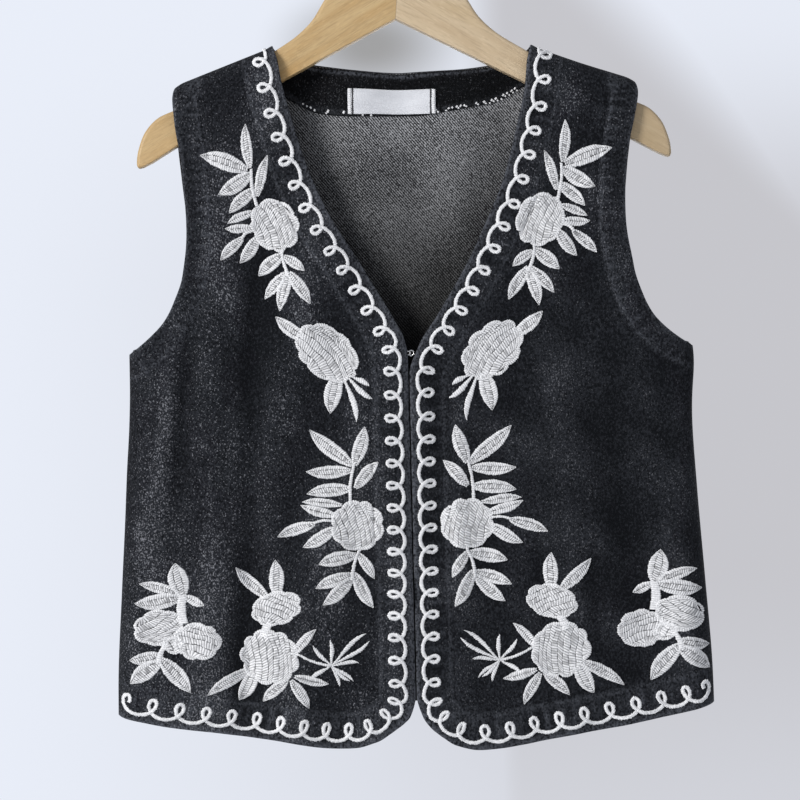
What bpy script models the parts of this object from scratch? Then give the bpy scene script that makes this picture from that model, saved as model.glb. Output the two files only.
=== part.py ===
"""A child's sleeveless denim vest, embroidered in white, on a flat wooden hanger.

Tables and sizes are in millimetres and the scene is in metres. +Z is up, the fronts face -Y and
+X is the viewer's right. The origin is the underside of the hook's crook, where a rail bears.
A drop is a depth below the neck points, the two places where the shoulders meet the neckline.
"""
import math
from collections import namedtuple

import bmesh
import bpy
from mathutils import Vector

MM = 0.001

# Cloth
WALL = 1.2
FACING_WALL = 0.8
LABEL_WALL = 0.8
SPRIG_WALL = 0.8
SEAM_GAP = 0.3

# Heights, with the origin at the top of the crook
NECK_LEVEL = -120.0
HUB_RISE = 58.0

# Cut of the panels
NECK_HALF = 78.6
NECK_TURN = 74.0
SHOULDER_HALF = 143.5
SHOULDER_FALL = 26.0
ARMPIT_DROP = 188.0
SIDE_END_DROP = 411.7
SHOULDER_ROLL = 9.0
SIDE_ROLL = 14.0

Section = namedtuple("Section", "drop half_width")
HemPoint = namedtuple("HemPoint", "half_width drop")
Depth = namedtuple("Depth", "drop front back")
Fold = namedtuple("Fold", "x_top drop_top x_low drop_low width depth")

ARMHOLE = [
    Section(SHOULDER_FALL, SHOULDER_HALF),
    Section(46, 142.0),
    Section(75, 138.0),
    Section(112, 136.1),
    Section(140, 139.0),
    Section(158, 145.4),
    Section(168, 151.0),
    Section(177, 159.4),
    Section(185, 169.0),
    Section(ARMPIT_DROP, 174.2),
]
SIDE = [
    Section(ARMPIT_DROP, 174.2),
    Section(232, 174.5),
    Section(279, 176.7),
    Section(335, 180.4),
    Section(391, 183.8),
    Section(SIDE_END_DROP, 184.2),
]
FRONT_EDGE = [
    Section(403, 0.6),
    Section(416, 4.0),
    Section(423, 8.8),
    Section(428.4, 15.2),
]
NECKLINE = {
    "left": [
        Section(0, NECK_HALF),
        Section(23, 75.2),
        Section(50, 68.2),
        Section(75, 60.4),
        Section(108, 45.4),
        Section(126, 34.2),
        Section(151, 19.6),
        Section(170, 8.8),
        Section(182, 2.8),
        Section(194, 0.6),
    ],
    "right": [
        Section(0, NECK_HALF),
        Section(26, 76.4),
        Section(50, 71.0),
        Section(87, 60.6),
        Section(110, 50.4),
        Section(134, 39.0),
        Section(150, 29.8),
        Section(168, 18.6),
        Section(185, 7.6),
        Section(205, 0.6),
    ],
}
FRONT_HEM = [
    HemPoint(15.2, 428.4),
    HemPoint(24, 434.0),
    HemPoint(37, 436.8),
    HemPoint(48, 436.4),
    HemPoint(86, 430.3),
    HemPoint(133, 422.6),
    HemPoint(184.2, SIDE_END_DROP),
]
BACK_HEM = [
    HemPoint(0, 409.0),
    HemPoint(92, 409.6),
    HemPoint(184.2, SIDE_END_DROP),
]
BACK_NECK = [
    HemPoint(0, 14.9),
    HemPoint(30, 14.0),
    HemPoint(52, 11.8),
    HemPoint(66, 8.8),
    HemPoint(NECK_TURN, 5.8),
    HemPoint(NECK_HALF, 0),
]

# How far each outer face stands from the plane of the seams
DEPTHS = [
    Depth(0, 9.4, 9.4),
    Depth(60, 10.0, 9.8),
    Depth(130, 11.5, 10.4),
    Depth(220, 14.5, 12.0),
    Depth(320, 17.5, 13.0),
    Depth(440, 20.5, 14.0),
]

# Troughs have a depth above zero and ridges one below it
FOLDS = {
    "left": [
        Fold(-137, 158, -158, 330, 8.5, 4.0),
        Fold(-126, 170, -140, 420, 13.0, -1.8),
        Fold(-99, 120, -119, 460, 10.0, 3.6),
        Fold(-60, 250, -66, 470, 16.0, -2.0),
        Fold(-13, 215, -12, 460, 9.0, -1.8),
    ],
    "right": [
        Fold(14, 175, 11, 350, 8.5, 3.6),
        Fold(28, 190, 26, 420, 9.0, -2.0),
        Fold(90, 150, 104, 470, 18.0, -2.2),
        Fold(128, 170, 150, 430, 11.0, 2.6),
    ],
    "back": [
        Fold(-120, 150, -138, 450, 13.0, 3.0),
        Fold(-58, 90, -66, 470, 20.0, -2.2),
        Fold(12, 120, 4, 470, 17.0, 2.6),
        Fold(72, 100, 84, 470, 20.0, -2.0),
        Fold(134, 160, 150, 430, 12.0, 3.0),
    ],
}

# Lattices of the panels
FRONT_COLUMNS = 14
BACK_COLUMNS = 20
SIDE_ROWS = 14
ARMHOLE_ROWS = 10
ROLL_STEPS = (25, 50, 75)
# The outer edge at a seam stands back so far that the wall's inner corner keeps the gap
SEAM_HALF = SEAM_GAP / 2 + WALL * math.sin(math.radians(90 - ROLL_STEPS[-1]) / 2)

# Neck facing and the blank woven label on it
FACING_TOP = [HemPoint(0, 15.6), HemPoint(52, 12.8), HemPoint(62, 10.6)]
FACING_LOW = [HemPoint(0, 41.8), HemPoint(36, 41.4), HemPoint(52, 39.4), HemPoint(80, 27.0)]
FACING_CELLS = (16, 3)
LABEL_CENTRE = (-6.7, 34.6)
LABEL_SIZE = (54.6, 16.2)
LABEL_CELLS = (6, 2)

# Hook and eye inside the foot of the neckline
FASTENER_DROP = 191.0
FASTENER_WIRE = 0.8
EYE_RADIUS = 1.7
HOOK_REACH = 4.6

# Hanger
HANGER_THICKNESS = 10.0
HANGER_ARRIS = 3.2
HANGER_JOINT = 0.3
HANGER_TOP = [(0, -58), (9, -57.5), (27, -51), (41, -39), (52, -24), (63, -8.4), (74, 2.1), (86, 8.0)]
HANGER_TIP = [(142, 36.2), (153.5, 39.8), (161, 47.5), (165, 58), (165.6, 67), (163, 71.2), (157, 68.4)]
HANGER_LOW = [(80, 26), (12, -9.6), (0, -15)]

# Hook wire
WIRE = 3.2
CROOK_INNER = 18.0
CROOK_START = -60
CROOK_END = 205

# Embroidered sprigs. A place is given outward from the front edge and down from the neck
# points. A leaf's root is outward and up from there, and its angle is turned from outward
# towards up. A stem runs between two such points.
Leaf = namedtuple("Leaf", "out up angle length width")
Stem = namedtuple("Stem", "out up end_out end_up")
Flower = namedtuple("Flower", "out up length width angle petals")
SPRIG_PLACES = {
    "yoke": (81, 110),
    "chest": (51, 188),
    "waist": (34, 297),
    "hem": (90, 377),
    "side": (146, 363),
}
SPRIG_FLOWERS = {
    "yoke": [Flower(0, 0, 34, 29, 60, 8)],
    "chest": [Flower(0, 0, 44, 30, 42, 9)],
    "waist": [Flower(0, 0, 33, 31, 0, 8)],
    "hem": [Flower(0, 0, 36, 33, 20, 8), Flower(-5, 30, 32, 22, 165, 7)],
    "side": [Flower(9, 4, 32, 23, 170, 7), Flower(-11, -4, 28, 22, 5, 7)],
}
SPRIG_STEMS = {
    "yoke": [Stem(15, 36, 12, 6), Stem(-3, -12, -7, -32)],
    "chest": [],
    "waist": [Stem(2, 38, 0, 12), Stem(0, -13, 4, -32)],
    "hem": [Stem(-4, 22, -1, 12), Stem(-14, -3, -36, -3)],
    "side": [Stem(-4, 26, -4, 4), Stem(1, -4, 8, -17)],
}
SPRIG_LEAVES = {
    "yoke": [
        Leaf(14, 30, 80, 29, 7),
        Leaf(13, 18, 100, 24, 6),
        Leaf(15, 34, 15, 30, 12),
        Leaf(14, 30, -35, 25, 9),
        Leaf(13, 20, -35, 22, 9),
        Leaf(11, 8, -20, 20, 7),
        Leaf(11, -3, -40, 28, 8),
        Leaf(8, -8, -60, 21, 9),
        Leaf(-5, -20, -35, 19, 8),
        Leaf(-5, -21, -145, 16, 7),
        Leaf(-6, -29, -45, 21, 8),
        Leaf(-6, -29, -125, 25, 9),
        Leaf(-7, -31, -75, 24, 8),
    ],
    "chest": [
        Leaf(13, 7, 30, 25, 10),
        Leaf(-4, -12, -80, 27, 11),
        Leaf(-13, -12, -130, 20, 4),
        Leaf(-10, -12, -110, 32, 4),
    ],
    "waist": [
        Leaf(2, 36, 40, 35, 12),
        Leaf(2, 33, 105, 30, 9),
        Leaf(2, 31, 0, 28, 9),
        Leaf(1, 23, 125, 22, 9),
        Leaf(1, 21, 5, 28, 8),
        Leaf(10, 8, 12, 28, 8),
        Leaf(12, 0, -15, 37, 9),
        Leaf(11, -4, -35, 27, 9),
        Leaf(1, -18, -10, 26, 9),
        Leaf(0, -13, -120, 22, 6),
        Leaf(3, -29, -15, 24, 8),
        Leaf(4, -31, -48, 24, 9),
        Leaf(3, -28, -115, 27, 9),
    ],
    "hem": [
        Leaf(0, 36, 40, 27, 9),
        Leaf(-5, 37, 90, 23, 9),
        Leaf(-11, 4, 138, 24, 7),
        Leaf(12, -8, -35, 29, 8),
        Leaf(7, -10, -72, 23, 11),
        Leaf(-8, -10, -55, 24, 8),
        Leaf(-10, -9, -120, 26, 8),
        Leaf(-34, -3, 135, 28, 4),
        Leaf(-34, -3, 165, 26, 4),
        Leaf(-34, -3, 90, 15, 4),
        Leaf(-34, -3, -135, 19, 4),
    ],
    "side": [
        Leaf(-4, 24, 75, 21, 12),
        Leaf(-4, 24, 20, 27, 8),
        Leaf(-4, 22, -10, 28, 8),
        Leaf(-4, 24, -150, 14, 6),
        Leaf(1, -5, -20, 31, 11),
        Leaf(7, -15, -32, 27, 11),
        Leaf(7, -15, -120, 27, 11),
    ],
}
STEM_WIDTH = 2.0
LEVEL_ANGLE = 2.0
LEAF_FORM = [(-0.04, 0.12), (0.3, 0.84), (0.62, 1.0)]
SPRIG_REACH = 4.0
CUTTER_DEPTH = 60.0


def lerp(start, end, share):
    return start + (end - start) * share


def smooth_step(share):
    share = min(max(share, 0.0), 1.0)
    return share * share * (3.0 - 2.0 * share)


def curve_value(rows, at):
    """Second column at a value of the first, on a smooth curve that never overshoots."""
    keys = [row[0] for row in rows]
    values = [row[1] for row in rows]
    last = len(rows) - 1
    if at <= keys[0]:
        return values[0]
    if at >= keys[last]:
        return values[last]
    slopes = [(values[i + 1] - values[i]) / (keys[i + 1] - keys[i]) for i in range(last)]
    tangents = [slopes[0]]
    for before, after in zip(slopes, slopes[1:]):
        tangents.append(0.0 if before * after <= 0 else 2 * before * after / (before + after))
    tangents.append(slopes[-1])
    i = max(k for k in range(last) if keys[k] <= at)
    span = keys[i + 1] - keys[i]
    t = (at - keys[i]) / span
    rise = smooth_step(t)
    bend = span * (t * (1 - t) ** 2 * tangents[i] - t * t * (1 - t) * tangents[i + 1])
    return lerp(values[i], values[i + 1], rise) + bend


def outer_half(drop):
    return curve_value(ARMHOLE if drop < ARMPIT_DROP else SIDE, drop)


def inner_half(side, drop):
    return curve_value(NECKLINE[side] + FRONT_EDGE, drop)


def shoulder_drop(half):
    return SHOULDER_FALL * (half - NECK_HALF) / (SHOULDER_HALF - NECK_HALF)


def roll(distance, radius):
    """Share of the full depth at a distance from a seam that the cloth turns over."""
    share = min(max(distance / radius, 0.0), 1.0)
    return math.sqrt(1.0 - (1.0 - share) ** 2)


def side_distance(half, drop):
    if drop < ARMPIT_DROP:
        return math.hypot(outer_half(ARMPIT_DROP) - half, ARMPIT_DROP - drop)
    return outer_half(drop) - half


def shoulder_distance(half, drop):
    slope = math.atan2(SHOULDER_FALL, SHOULDER_HALF - NECK_HALF)
    return (drop - shoulder_drop(half)) * math.cos(slope)


def fold_relief(panel, x, drop):
    relief = 0.0
    for fold in FOLDS[panel]:
        along = (drop - fold.drop_top) / (fold.drop_low - fold.drop_top)
        fade = smooth_step(4 * along) * smooth_step(2.5 * (1 - along))
        across = (x - lerp(fold.x_top, fold.x_low, along)) / fold.width
        relief += fold.depth * fade * math.exp(-across * across)
    return relief


def panel_depth(panel, x, drop):
    """Distance of a panel's outer face from the plane of the seams."""
    column = 2 if panel == "back" else 1
    full = curve_value([(row.drop, row[column]) for row in DEPTHS], drop)
    full -= fold_relief(panel, x, drop)
    turned = roll(side_distance(abs(x), drop), SIDE_ROLL)
    turned *= roll(shoulder_distance(abs(x), drop), SHOULDER_ROLL)
    return SEAM_HALF + (full - SEAM_HALF) * turned


def cloth_point(panel, x, drop, out=0.0):
    """Point of a panel's outer face, moved out along the cloth's normal."""
    sign = 1.0 if panel == "back" else -1.0
    step = 0.5

    def face(px, pd):
        return Vector((px, sign * panel_depth(panel, px, pd), NECK_LEVEL - pd))

    point = face(x, drop)
    if out == 0.0:
        return point
    across = face(x + step, drop) - face(x - step, drop)
    down = face(x, drop + step) - face(x, drop - step)
    normal = across.cross(down).normalized()
    if normal.y * sign < 0:
        normal.negate()
    return point + normal * out


def row_shares():
    """Heights of the lattice rows from the hem to the shoulder, with a row at the armpit."""
    armpit = (SIDE_END_DROP - ARMPIT_DROP) / (SIDE_END_DROP - SHOULDER_FALL)
    roll_start = 1.0 - SHOULDER_ROLL / (SIDE_END_DROP - SHOULDER_FALL)
    shares = [armpit * i / SIDE_ROWS for i in range(SIDE_ROWS)]
    shares += [lerp(armpit, roll_start, i / ARMHOLE_ROWS) for i in range(ARMHOLE_ROWS + 1)]
    shares += [lerp(roll_start, 1.0, math.sin(math.radians(step))) for step in ROLL_STEPS]
    return shares + [1.0]


def column_shares(count, width):
    """Places of the lattice columns from the front edge to the side, closer at the side."""
    roll_start = 1.0 - SIDE_ROLL / width
    shares = [roll_start * i / count for i in range(count + 1)]
    shares += [lerp(roll_start, 1.0, math.sin(math.radians(step))) for step in ROLL_STEPS]
    return shares + [1.0]


def coons(hem, top, inner, outer, u, v):
    """Patch between four edges that meet at their ends."""
    corners = lerp(lerp(hem(0), hem(1), u), lerp(top(0), top(1), u), v)
    return lerp(hem(u), top(u), v) + lerp(inner(v), outer(v), u) - corners


def front_plan(side):
    """Lattice of one front as outward distance and drop, a list of rows from the hem up."""
    low = FRONT_EDGE[-1].drop
    start = FRONT_HEM[0].half_width
    end = FRONT_HEM[-1].half_width

    def hem(u):
        half = lerp(start, end, u)
        return Vector((half, curve_value(FRONT_HEM, half)))

    def top(u):
        half = lerp(NECK_HALF, SHOULDER_HALF, u)
        return Vector((half, shoulder_drop(half)))

    def inner(v):
        drop = low * (1 - v)
        return Vector((inner_half(side, drop), drop))

    def outer(v):
        drop = lerp(SIDE_END_DROP, SHOULDER_FALL, v)
        return Vector((outer_half(drop), drop))

    columns = column_shares(FRONT_COLUMNS, end)
    return [[coons(hem, top, inner, outer, u, v) for u in columns] for v in row_shares()]


def back_plan():
    """Lattice of the back as x and drop. Its top row follows both shoulders and the neck."""
    shares = column_shares(BACK_COLUMNS // 2, SIDE[-1].half_width)
    top_halves = [SHOULDER_HALF * share for share in shares]
    neck_column = min(range(len(shares)), key=lambda i: abs(top_halves[i] - NECK_HALF))
    top_halves[neck_column] = NECK_HALF
    top_halves[neck_column - 1] = NECK_TURN
    rows = []
    for v in row_shares():
        drop = lerp(SIDE_END_DROP, SHOULDER_FALL, v)
        half_row = []
        for share, top_half in zip(shares, top_halves):
            at_neck = top_half < NECK_HALF
            top = curve_value(BACK_NECK, top_half) if at_neck else shoulder_drop(top_half)
            low = curve_value(BACK_HEM, SIDE[-1].half_width * share)
            lift = (top - SHOULDER_FALL) * smooth_step(v)
            fall = (low - SIDE_END_DROP) * (1 - v)
            half = lerp(outer_half(drop) * share, top_half, smooth_step(4 * v - 3))
            half_row.append(Vector((half, drop + lift + fall)))
        mirrored = [Vector((-point.x, point.y)) for point in reversed(half_row[1:])]
        rows.append(mirrored + half_row)
    return rows


def make_object(name, mesh, material, collection):
    piece = bpy.data.objects.new(name, mesh)
    mesh.materials.append(material)
    collection.objects.link(piece)
    return piece


def sheet_mesh(name, rows, flip=False):
    """Open sheet through rows of points."""
    sheet = bmesh.new()
    lattice = [[sheet.verts.new(point * MM) for point in row] for row in rows]
    for low, high in zip(lattice, lattice[1:]):
        for i in range(len(low) - 1):
            corners = [low[i], low[i + 1], high[i + 1], high[i]]
            sheet.faces.new(reversed(corners) if flip else corners)
    mesh = bpy.data.meshes.new(name)
    sheet.to_mesh(mesh)
    sheet.free()
    mesh.shade_smooth()
    return mesh


def thicken(piece, wall, inward):
    """Solidify an open sheet, towards the back of its faces or out of their front."""
    solid = piece.modifiers.new("wall", "SOLIDIFY")
    solid.thickness = wall * MM
    solid.offset = -1.0 if inward else 1.0
    solid.use_even_offset = True


def make_front(side, material, collection):
    name = "front_" + side
    sign = -1 if side == "left" else 1
    rows = [[cloth_point(side, sign * half, drop) for half, drop in row] for row in front_plan(side)]
    piece = make_object(name, sheet_mesh(name, rows, side == "left"), material, collection)
    thicken(piece, WALL, inward=True)


def make_back(material, collection):
    rows = [[cloth_point("back", x, drop) for x, drop in row] for row in back_plan()]
    piece = make_object("back", sheet_mesh("back", rows, True), material, collection)
    thicken(piece, WALL, inward=True)


def make_facing(material, collection):
    """Band inside the back neck, a gap away from the back's inner face."""
    across, down = FACING_CELLS
    rows = []
    for j in range(down + 1):
        row = []
        for i in range(across + 1):
            u = 2 * i / across - 1
            top = FACING_TOP[-1].half_width * abs(u)
            low = FACING_LOW[-1].half_width * abs(u)
            half = lerp(top, low, j / down)
            drop = lerp(curve_value(FACING_TOP, top), curve_value(FACING_LOW, low), j / down)
            row.append(cloth_point("back", math.copysign(half, u), drop, -WALL - SEAM_GAP))
        rows.append(row)
    mesh = sheet_mesh("back_neck_facing", rows, True)
    piece = make_object("back_neck_facing", mesh, material, collection)
    thicken(piece, FACING_WALL, inward=False)


def make_label(material, collection):
    """Blank woven label, a gap away from the facing."""
    across, down = LABEL_CELLS
    rows = []
    for j in range(down + 1):
        drop = LABEL_CENTRE[1] + LABEL_SIZE[1] * (j / down - 0.5)
        xs = [LABEL_CENTRE[0] + LABEL_SIZE[0] * (i / across - 0.5) for i in range(across + 1)]
        inside = -WALL - FACING_WALL - 2 * SEAM_GAP
        rows.append([cloth_point("back", x, drop, inside) for x in xs])
    piece = make_object("neck_label", sheet_mesh("neck_label", rows, True), material, collection)
    thicken(piece, LABEL_WALL, inward=False)


def poly_curve(name, points, wire, cyclic=False):
    """Round wire along points."""
    curve = bpy.data.curves.new(name, "CURVE")
    curve.dimensions = "3D"
    curve.bevel_depth = wire / 2 * MM
    curve.bevel_resolution = 2
    curve.use_fill_caps = not cyclic
    spline = curve.splines.new("POLY")
    spline.points.add(len(points) - 1)
    spline.use_cyclic_u = cyclic
    for knot, point in zip(spline.points, points):
        knot.co = (*(Vector(point) * MM), 1.0)
    return curve


def make_fastener(material, collection):
    """A small wire hook inside one front and the wire eye that it goes through on the other."""
    inner = -panel_depth("left", -6, FASTENER_DROP) + WALL + SEAM_GAP
    hook_y = inner + FASTENER_WIRE / 2
    eye_y = hook_y + FASTENER_WIRE + SEAM_GAP
    level = NECK_LEVEL - FASTENER_DROP
    prong = FASTENER_WIRE + SEAM_GAP
    hook = []
    for turn in range(-90, 91, 30):
        angle = math.radians(turn)
        hook.append((math.cos(angle) * prong, hook_y, level + math.sin(angle) * prong))
    hook = [(-HOOK_REACH, hook_y, level - prong)] + hook + [(-HOOK_REACH, hook_y, level + prong)]
    eye = []
    for turn in range(0, 360, 30):
        angle = math.radians(turn)
        across = EYE_RADIUS * (1 + math.cos(angle))
        eye.append((across, eye_y, level + math.sin(angle) * EYE_RADIUS))
    hook_curve = poly_curve("fastening_hook", hook, FASTENER_WIRE)
    eye_curve = poly_curve("fastening_eye", eye, FASTENER_WIRE, cyclic=True)
    make_object("fastening_hook", hook_curve, material, collection)
    make_object("fastening_eye", eye_curve, material, collection)


def spline_points(knots, steps):
    """Points of a smooth curve through knots."""
    ends = [knots[0]] + list(knots) + [knots[-1]]
    points = []
    for a, b, c, d in zip(ends, ends[1:], ends[2:], ends[3:]):
        a, b, c, d = (Vector(p) for p in (a, b, c, d))
        for i in range(steps):
            t = i / steps
            points.append(0.5 * (2 * b + (c - a) * t + (2 * a - 5 * b + 4 * c - d) * t * t
                                 + (3 * b - a - 3 * c + d) * t ** 3))
    return points + [Vector(knots[-1])]


def hanger_outline():
    """Outline of the whole hanger as x and drop, round from the top."""
    right = spline_points(HANGER_TOP, 3) + spline_points(HANGER_TIP, 2)
    right += [Vector(point) for point in HANGER_LOW]
    left = [Vector((-point.x, point.y)) for point in reversed(right[1:-1])]
    return right + left


def make_hanger(material, collection):
    """Two arms sawn from one rounded outline and glued at the middle."""
    outline = bpy.data.curves.new("hanger_outline", "CURVE")
    outline.dimensions = "2D"
    outline.fill_mode = "BOTH"
    outline.extrude = HANGER_THICKNESS / 2 * MM
    spline = outline.splines.new("POLY")
    points = hanger_outline()
    spline.points.add(len(points) - 1)
    spline.use_cyclic_u = True
    for knot, point in zip(spline.points, points):
        knot.co = (point.x * MM, (NECK_LEVEL - point.y) * MM, 0.0, 1.0)
    blank = bpy.data.objects.new("hanger_blank", outline)
    collection.objects.link(blank)
    blank.rotation_euler.x = math.pi / 2
    weld = blank.modifiers.new("weld", "WELD")
    weld.merge_threshold = 0.00001
    arris = blank.modifiers.new("arris", "BEVEL")
    arris.width = HANGER_ARRIS * MM
    arris.segments = 3
    arris.use_clamp_overlap = False
    arris.limit_method = "ANGLE"
    arris.angle_limit = math.radians(60)
    bpy.context.view_layer.update()
    evaluated = blank.evaluated_get(bpy.context.evaluated_depsgraph_get())
    whole = bpy.data.meshes.new_from_object(evaluated)
    whole.transform(blank.matrix_world)
    whole.materials.clear()
    bpy.data.objects.remove(blank)
    for side, sign in (("left", -1), ("right", 1)):
        half = bmesh.new()
        half.from_mesh(whole)
        bmesh.ops.remove_doubles(half, verts=half.verts, dist=0.00001)
        everything = half.verts[:] + half.edges[:] + half.faces[:]
        plane = Vector((sign * HANGER_JOINT / 2 * MM, 0, 0))
        cut = bmesh.ops.bisect_plane(half, geom=everything, plane_co=plane,
                                     plane_no=Vector((-sign, 0, 0)), clear_outer=True)
        rim = [edge for edge in cut["geom_cut"] if isinstance(edge, bmesh.types.BMEdge)]
        bmesh.ops.holes_fill(half, edges=rim)
        bmesh.ops.recalc_face_normals(half, faces=half.faces)
        if half.calc_volume(signed=True) < 0:
            bmesh.ops.reverse_faces(half, faces=half.faces)
        mesh = bpy.data.meshes.new("hanger_arm_" + side)
        half.to_mesh(mesh)
        half.free()
        mesh.shade_smooth()
        mesh.set_sharp_from_angle(angle=math.radians(40))
        make_object("hanger_arm_" + side, mesh, material, collection)


def make_hook(material, collection):
    """Shank, an S bend and the round crook, in one wire."""
    radius = CROOK_INNER + WIRE / 2
    centre = -CROOK_INNER
    start = math.radians(-CROOK_START)
    shank_top = centre - 2 * radius * math.sin(start)
    hub_top = NECK_LEVEL + HUB_RISE
    points = [(0, 0, hub_top + SEAM_GAP), (0, 0, (hub_top + shank_top) / 2), (0, 0, shank_top)]
    for turn in range(12, -CROOK_START, 12):
        angle = math.radians(turn)
        points.append((radius * (1 - math.cos(angle)), 0, shank_top + radius * math.sin(angle)))
    for turn in range(CROOK_START, CROOK_END + 1, 12):
        angle = math.radians(turn)
        points.append((radius * math.cos(angle), 0, centre + radius * math.sin(angle)))
    make_object("hanger_hook", poly_curve("hanger_hook", points, WIRE), material, collection)


def leaf_outline(leaf):
    """Pointed oval with a narrow blunt root, widest past its middle."""
    upper = [(share * leaf.length, spread * leaf.width / 2) for share, spread in LEAF_FORM]
    lower = [(along, -across) for along, across in reversed(upper)]
    angle = math.radians(leaf.angle)
    along = Vector((math.cos(angle), math.sin(angle)))
    side = Vector((-along.y, along.x))
    root = Vector((leaf.out, leaf.up))
    return [root + along * a + side * b for a, b in upper + [(leaf.length, 0)] + lower]


def stem_outline(stem):
    """Narrow strip between two points."""
    start = Vector((stem.out, stem.up))
    end = Vector((stem.end_out, stem.end_up))
    along = (end - start).normalized()
    side = Vector((-along.y, along.x)) * STEM_WIDTH / 2
    return [start + side, start - side, end - side, end + side]


def flower_outline(flower):
    """Tilted oval with a shallow scallop for each petal."""
    tilt = math.radians(flower.angle)
    points = []
    for i in range(2 * flower.petals):
        turn = math.pi * i / flower.petals
        reach = 1.0 if i % 2 else 0.9
        long = reach * flower.length / 2 * math.cos(turn)
        short = reach * flower.width / 2 * math.sin(turn)
        points.append(Vector((flower.out + long * math.cos(tilt) - short * math.sin(tilt),
                              flower.up + long * math.sin(tilt) + short * math.cos(tilt))))
    return points


def sprig_cutter(name, sign, place, outlines, collection):
    """Prisms through the cloth, one for each leaf and flower."""
    prisms = bmesh.new()
    for outline in outlines:
        ring = []
        for point in outline:
            x = sign * (place[0] + point.x)
            z = NECK_LEVEL - place[1] + point.y
            ring.append(Vector((x, 0, z)) * MM)
        base = prisms.faces.new([prisms.verts.new(point) for point in ring])
        top = bmesh.ops.extrude_face_region(prisms, geom=[base])
        moved = [item for item in top["geom"] if isinstance(item, bmesh.types.BMVert)]
        bmesh.ops.translate(prisms, verts=moved, vec=Vector((0, -CUTTER_DEPTH * MM, 0)))
    bmesh.ops.recalc_face_normals(prisms, faces=prisms.faces)
    mesh = bpy.data.meshes.new(name)
    prisms.to_mesh(mesh)
    prisms.free()
    cutter = bpy.data.objects.new(name, mesh)
    collection.objects.link(cutter)
    cutter.hide_render = True
    cutter.display_type = "WIRE"
    return cutter


def make_sprig(side, name, material, collection, cutters):
    """Raised embroidery: a skin on the front's own lattice, trimmed to leaves and flowers."""
    sign = -1 if side == "left" else 1
    place = SPRIG_PLACES[name]
    outlines = [leaf_outline(leaf) for leaf in SPRIG_LEAVES[name]]
    outlines += [stem_outline(stem) for stem in SPRIG_STEMS[name]]
    outlines += [flower_outline(flower) for flower in SPRIG_FLOWERS[name]]
    outs = [place[0] + point.x for outline in outlines for point in outline]
    drops = [place[1] - point.y for outline in outlines for point in outline]
    plan = front_plan(side)
    rows = [row for low, row, high in zip(plan[:1] + plan, plan, plan[1:] + plan[-1:])
            if low[0].y >= min(drops) - SPRIG_REACH and high[0].y <= max(drops) + 3 * SPRIG_REACH]
    columns = [i for i in range(len(plan[0])) if any(
        min(outs) - 3 * SPRIG_REACH <= row[i].x <= max(outs) + 3 * SPRIG_REACH for row in rows)]
    skin = [[cloth_point(side, sign * row[i].x, row[i].y, SEAM_GAP) for i in columns] for row in rows]
    label = "sprig_" + name + "_" + side
    piece = make_object(label, sheet_mesh(label, skin, side == "left"), material, collection)
    thicken(piece, SPRIG_WALL, inward=False)
    trim = piece.modifiers.new("trim", "BOOLEAN")
    trim.operation = "INTERSECT"
    trim.solver = "EXACT"
    trim.use_self = True
    trim.object = sprig_cutter(label + "_cutter", sign, place, outlines, cutters)
    merge = piece.modifiers.new("merge_level_faces", "DECIMATE")
    merge.decimate_type = "DISSOLVE"
    merge.angle_limit = math.radians(LEVEL_ANGLE)


def make_material(name, colour, roughness, metallic=0.0):
    material = bpy.data.materials.new(name)
    material.use_nodes = True
    shader = material.node_tree.nodes["Principled BSDF"]
    shader.inputs["Base Color"].default_value = (*colour, 1.0)
    shader.inputs["Roughness"].default_value = roughness
    shader.inputs["Metallic"].default_value = metallic
    return material


def main():
    for leftover in list(bpy.data.objects):
        bpy.data.objects.remove(leftover)
    vest = bpy.data.collections.new("denim_vest_on_hanger")
    cutters = bpy.data.collections.new("cutters")
    bpy.context.scene.collection.children.link(vest)
    bpy.context.scene.collection.children.link(cutters)
    denim = make_material("denim", (0.018, 0.020, 0.024), 0.92)
    facing = make_material("facing_denim", (0.020, 0.021, 0.025), 0.92)
    satin = make_material("label_satin", (0.82, 0.81, 0.78), 0.45)
    thread = make_material("embroidery_thread", (0.78, 0.78, 0.78), 0.5)
    wood = make_material("hanger_wood", (0.60, 0.36, 0.17), 0.45)
    steel = make_material("hook_steel", (0.62, 0.62, 0.63), 0.25, 1.0)
    make_back(denim, vest)
    make_facing(facing, vest)
    make_label(satin, vest)
    make_fastener(steel, vest)
    make_hanger(wood, vest)
    make_hook(steel, vest)
    for side in ("left", "right"):
        make_front(side, denim, vest)
        for name in SPRIG_PLACES:
            make_sprig(side, name, thread, vest, cutters)


main()
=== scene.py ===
import math
from collections import namedtuple

import bmesh
import bpy
import numpy as np
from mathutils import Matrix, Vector


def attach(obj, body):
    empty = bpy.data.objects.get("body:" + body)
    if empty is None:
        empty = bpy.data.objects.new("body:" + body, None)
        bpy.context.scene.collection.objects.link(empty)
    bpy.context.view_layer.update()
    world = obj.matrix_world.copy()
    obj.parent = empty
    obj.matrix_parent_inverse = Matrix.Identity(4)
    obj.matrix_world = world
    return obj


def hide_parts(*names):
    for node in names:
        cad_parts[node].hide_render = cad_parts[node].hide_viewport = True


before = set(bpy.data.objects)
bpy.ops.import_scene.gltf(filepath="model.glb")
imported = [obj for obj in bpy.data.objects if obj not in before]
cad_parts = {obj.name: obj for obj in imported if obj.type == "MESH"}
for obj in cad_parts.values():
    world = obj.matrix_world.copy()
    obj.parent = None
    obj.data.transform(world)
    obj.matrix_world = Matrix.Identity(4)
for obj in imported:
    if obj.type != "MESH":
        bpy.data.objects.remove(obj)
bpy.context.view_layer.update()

MM = 0.001

# Cloth
WALL = 1.2
FACING_WALL = 0.8
LABEL_WALL = 0.6
SEAM_GAP = 0.3
SEAM_HALF = 0.307

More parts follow.
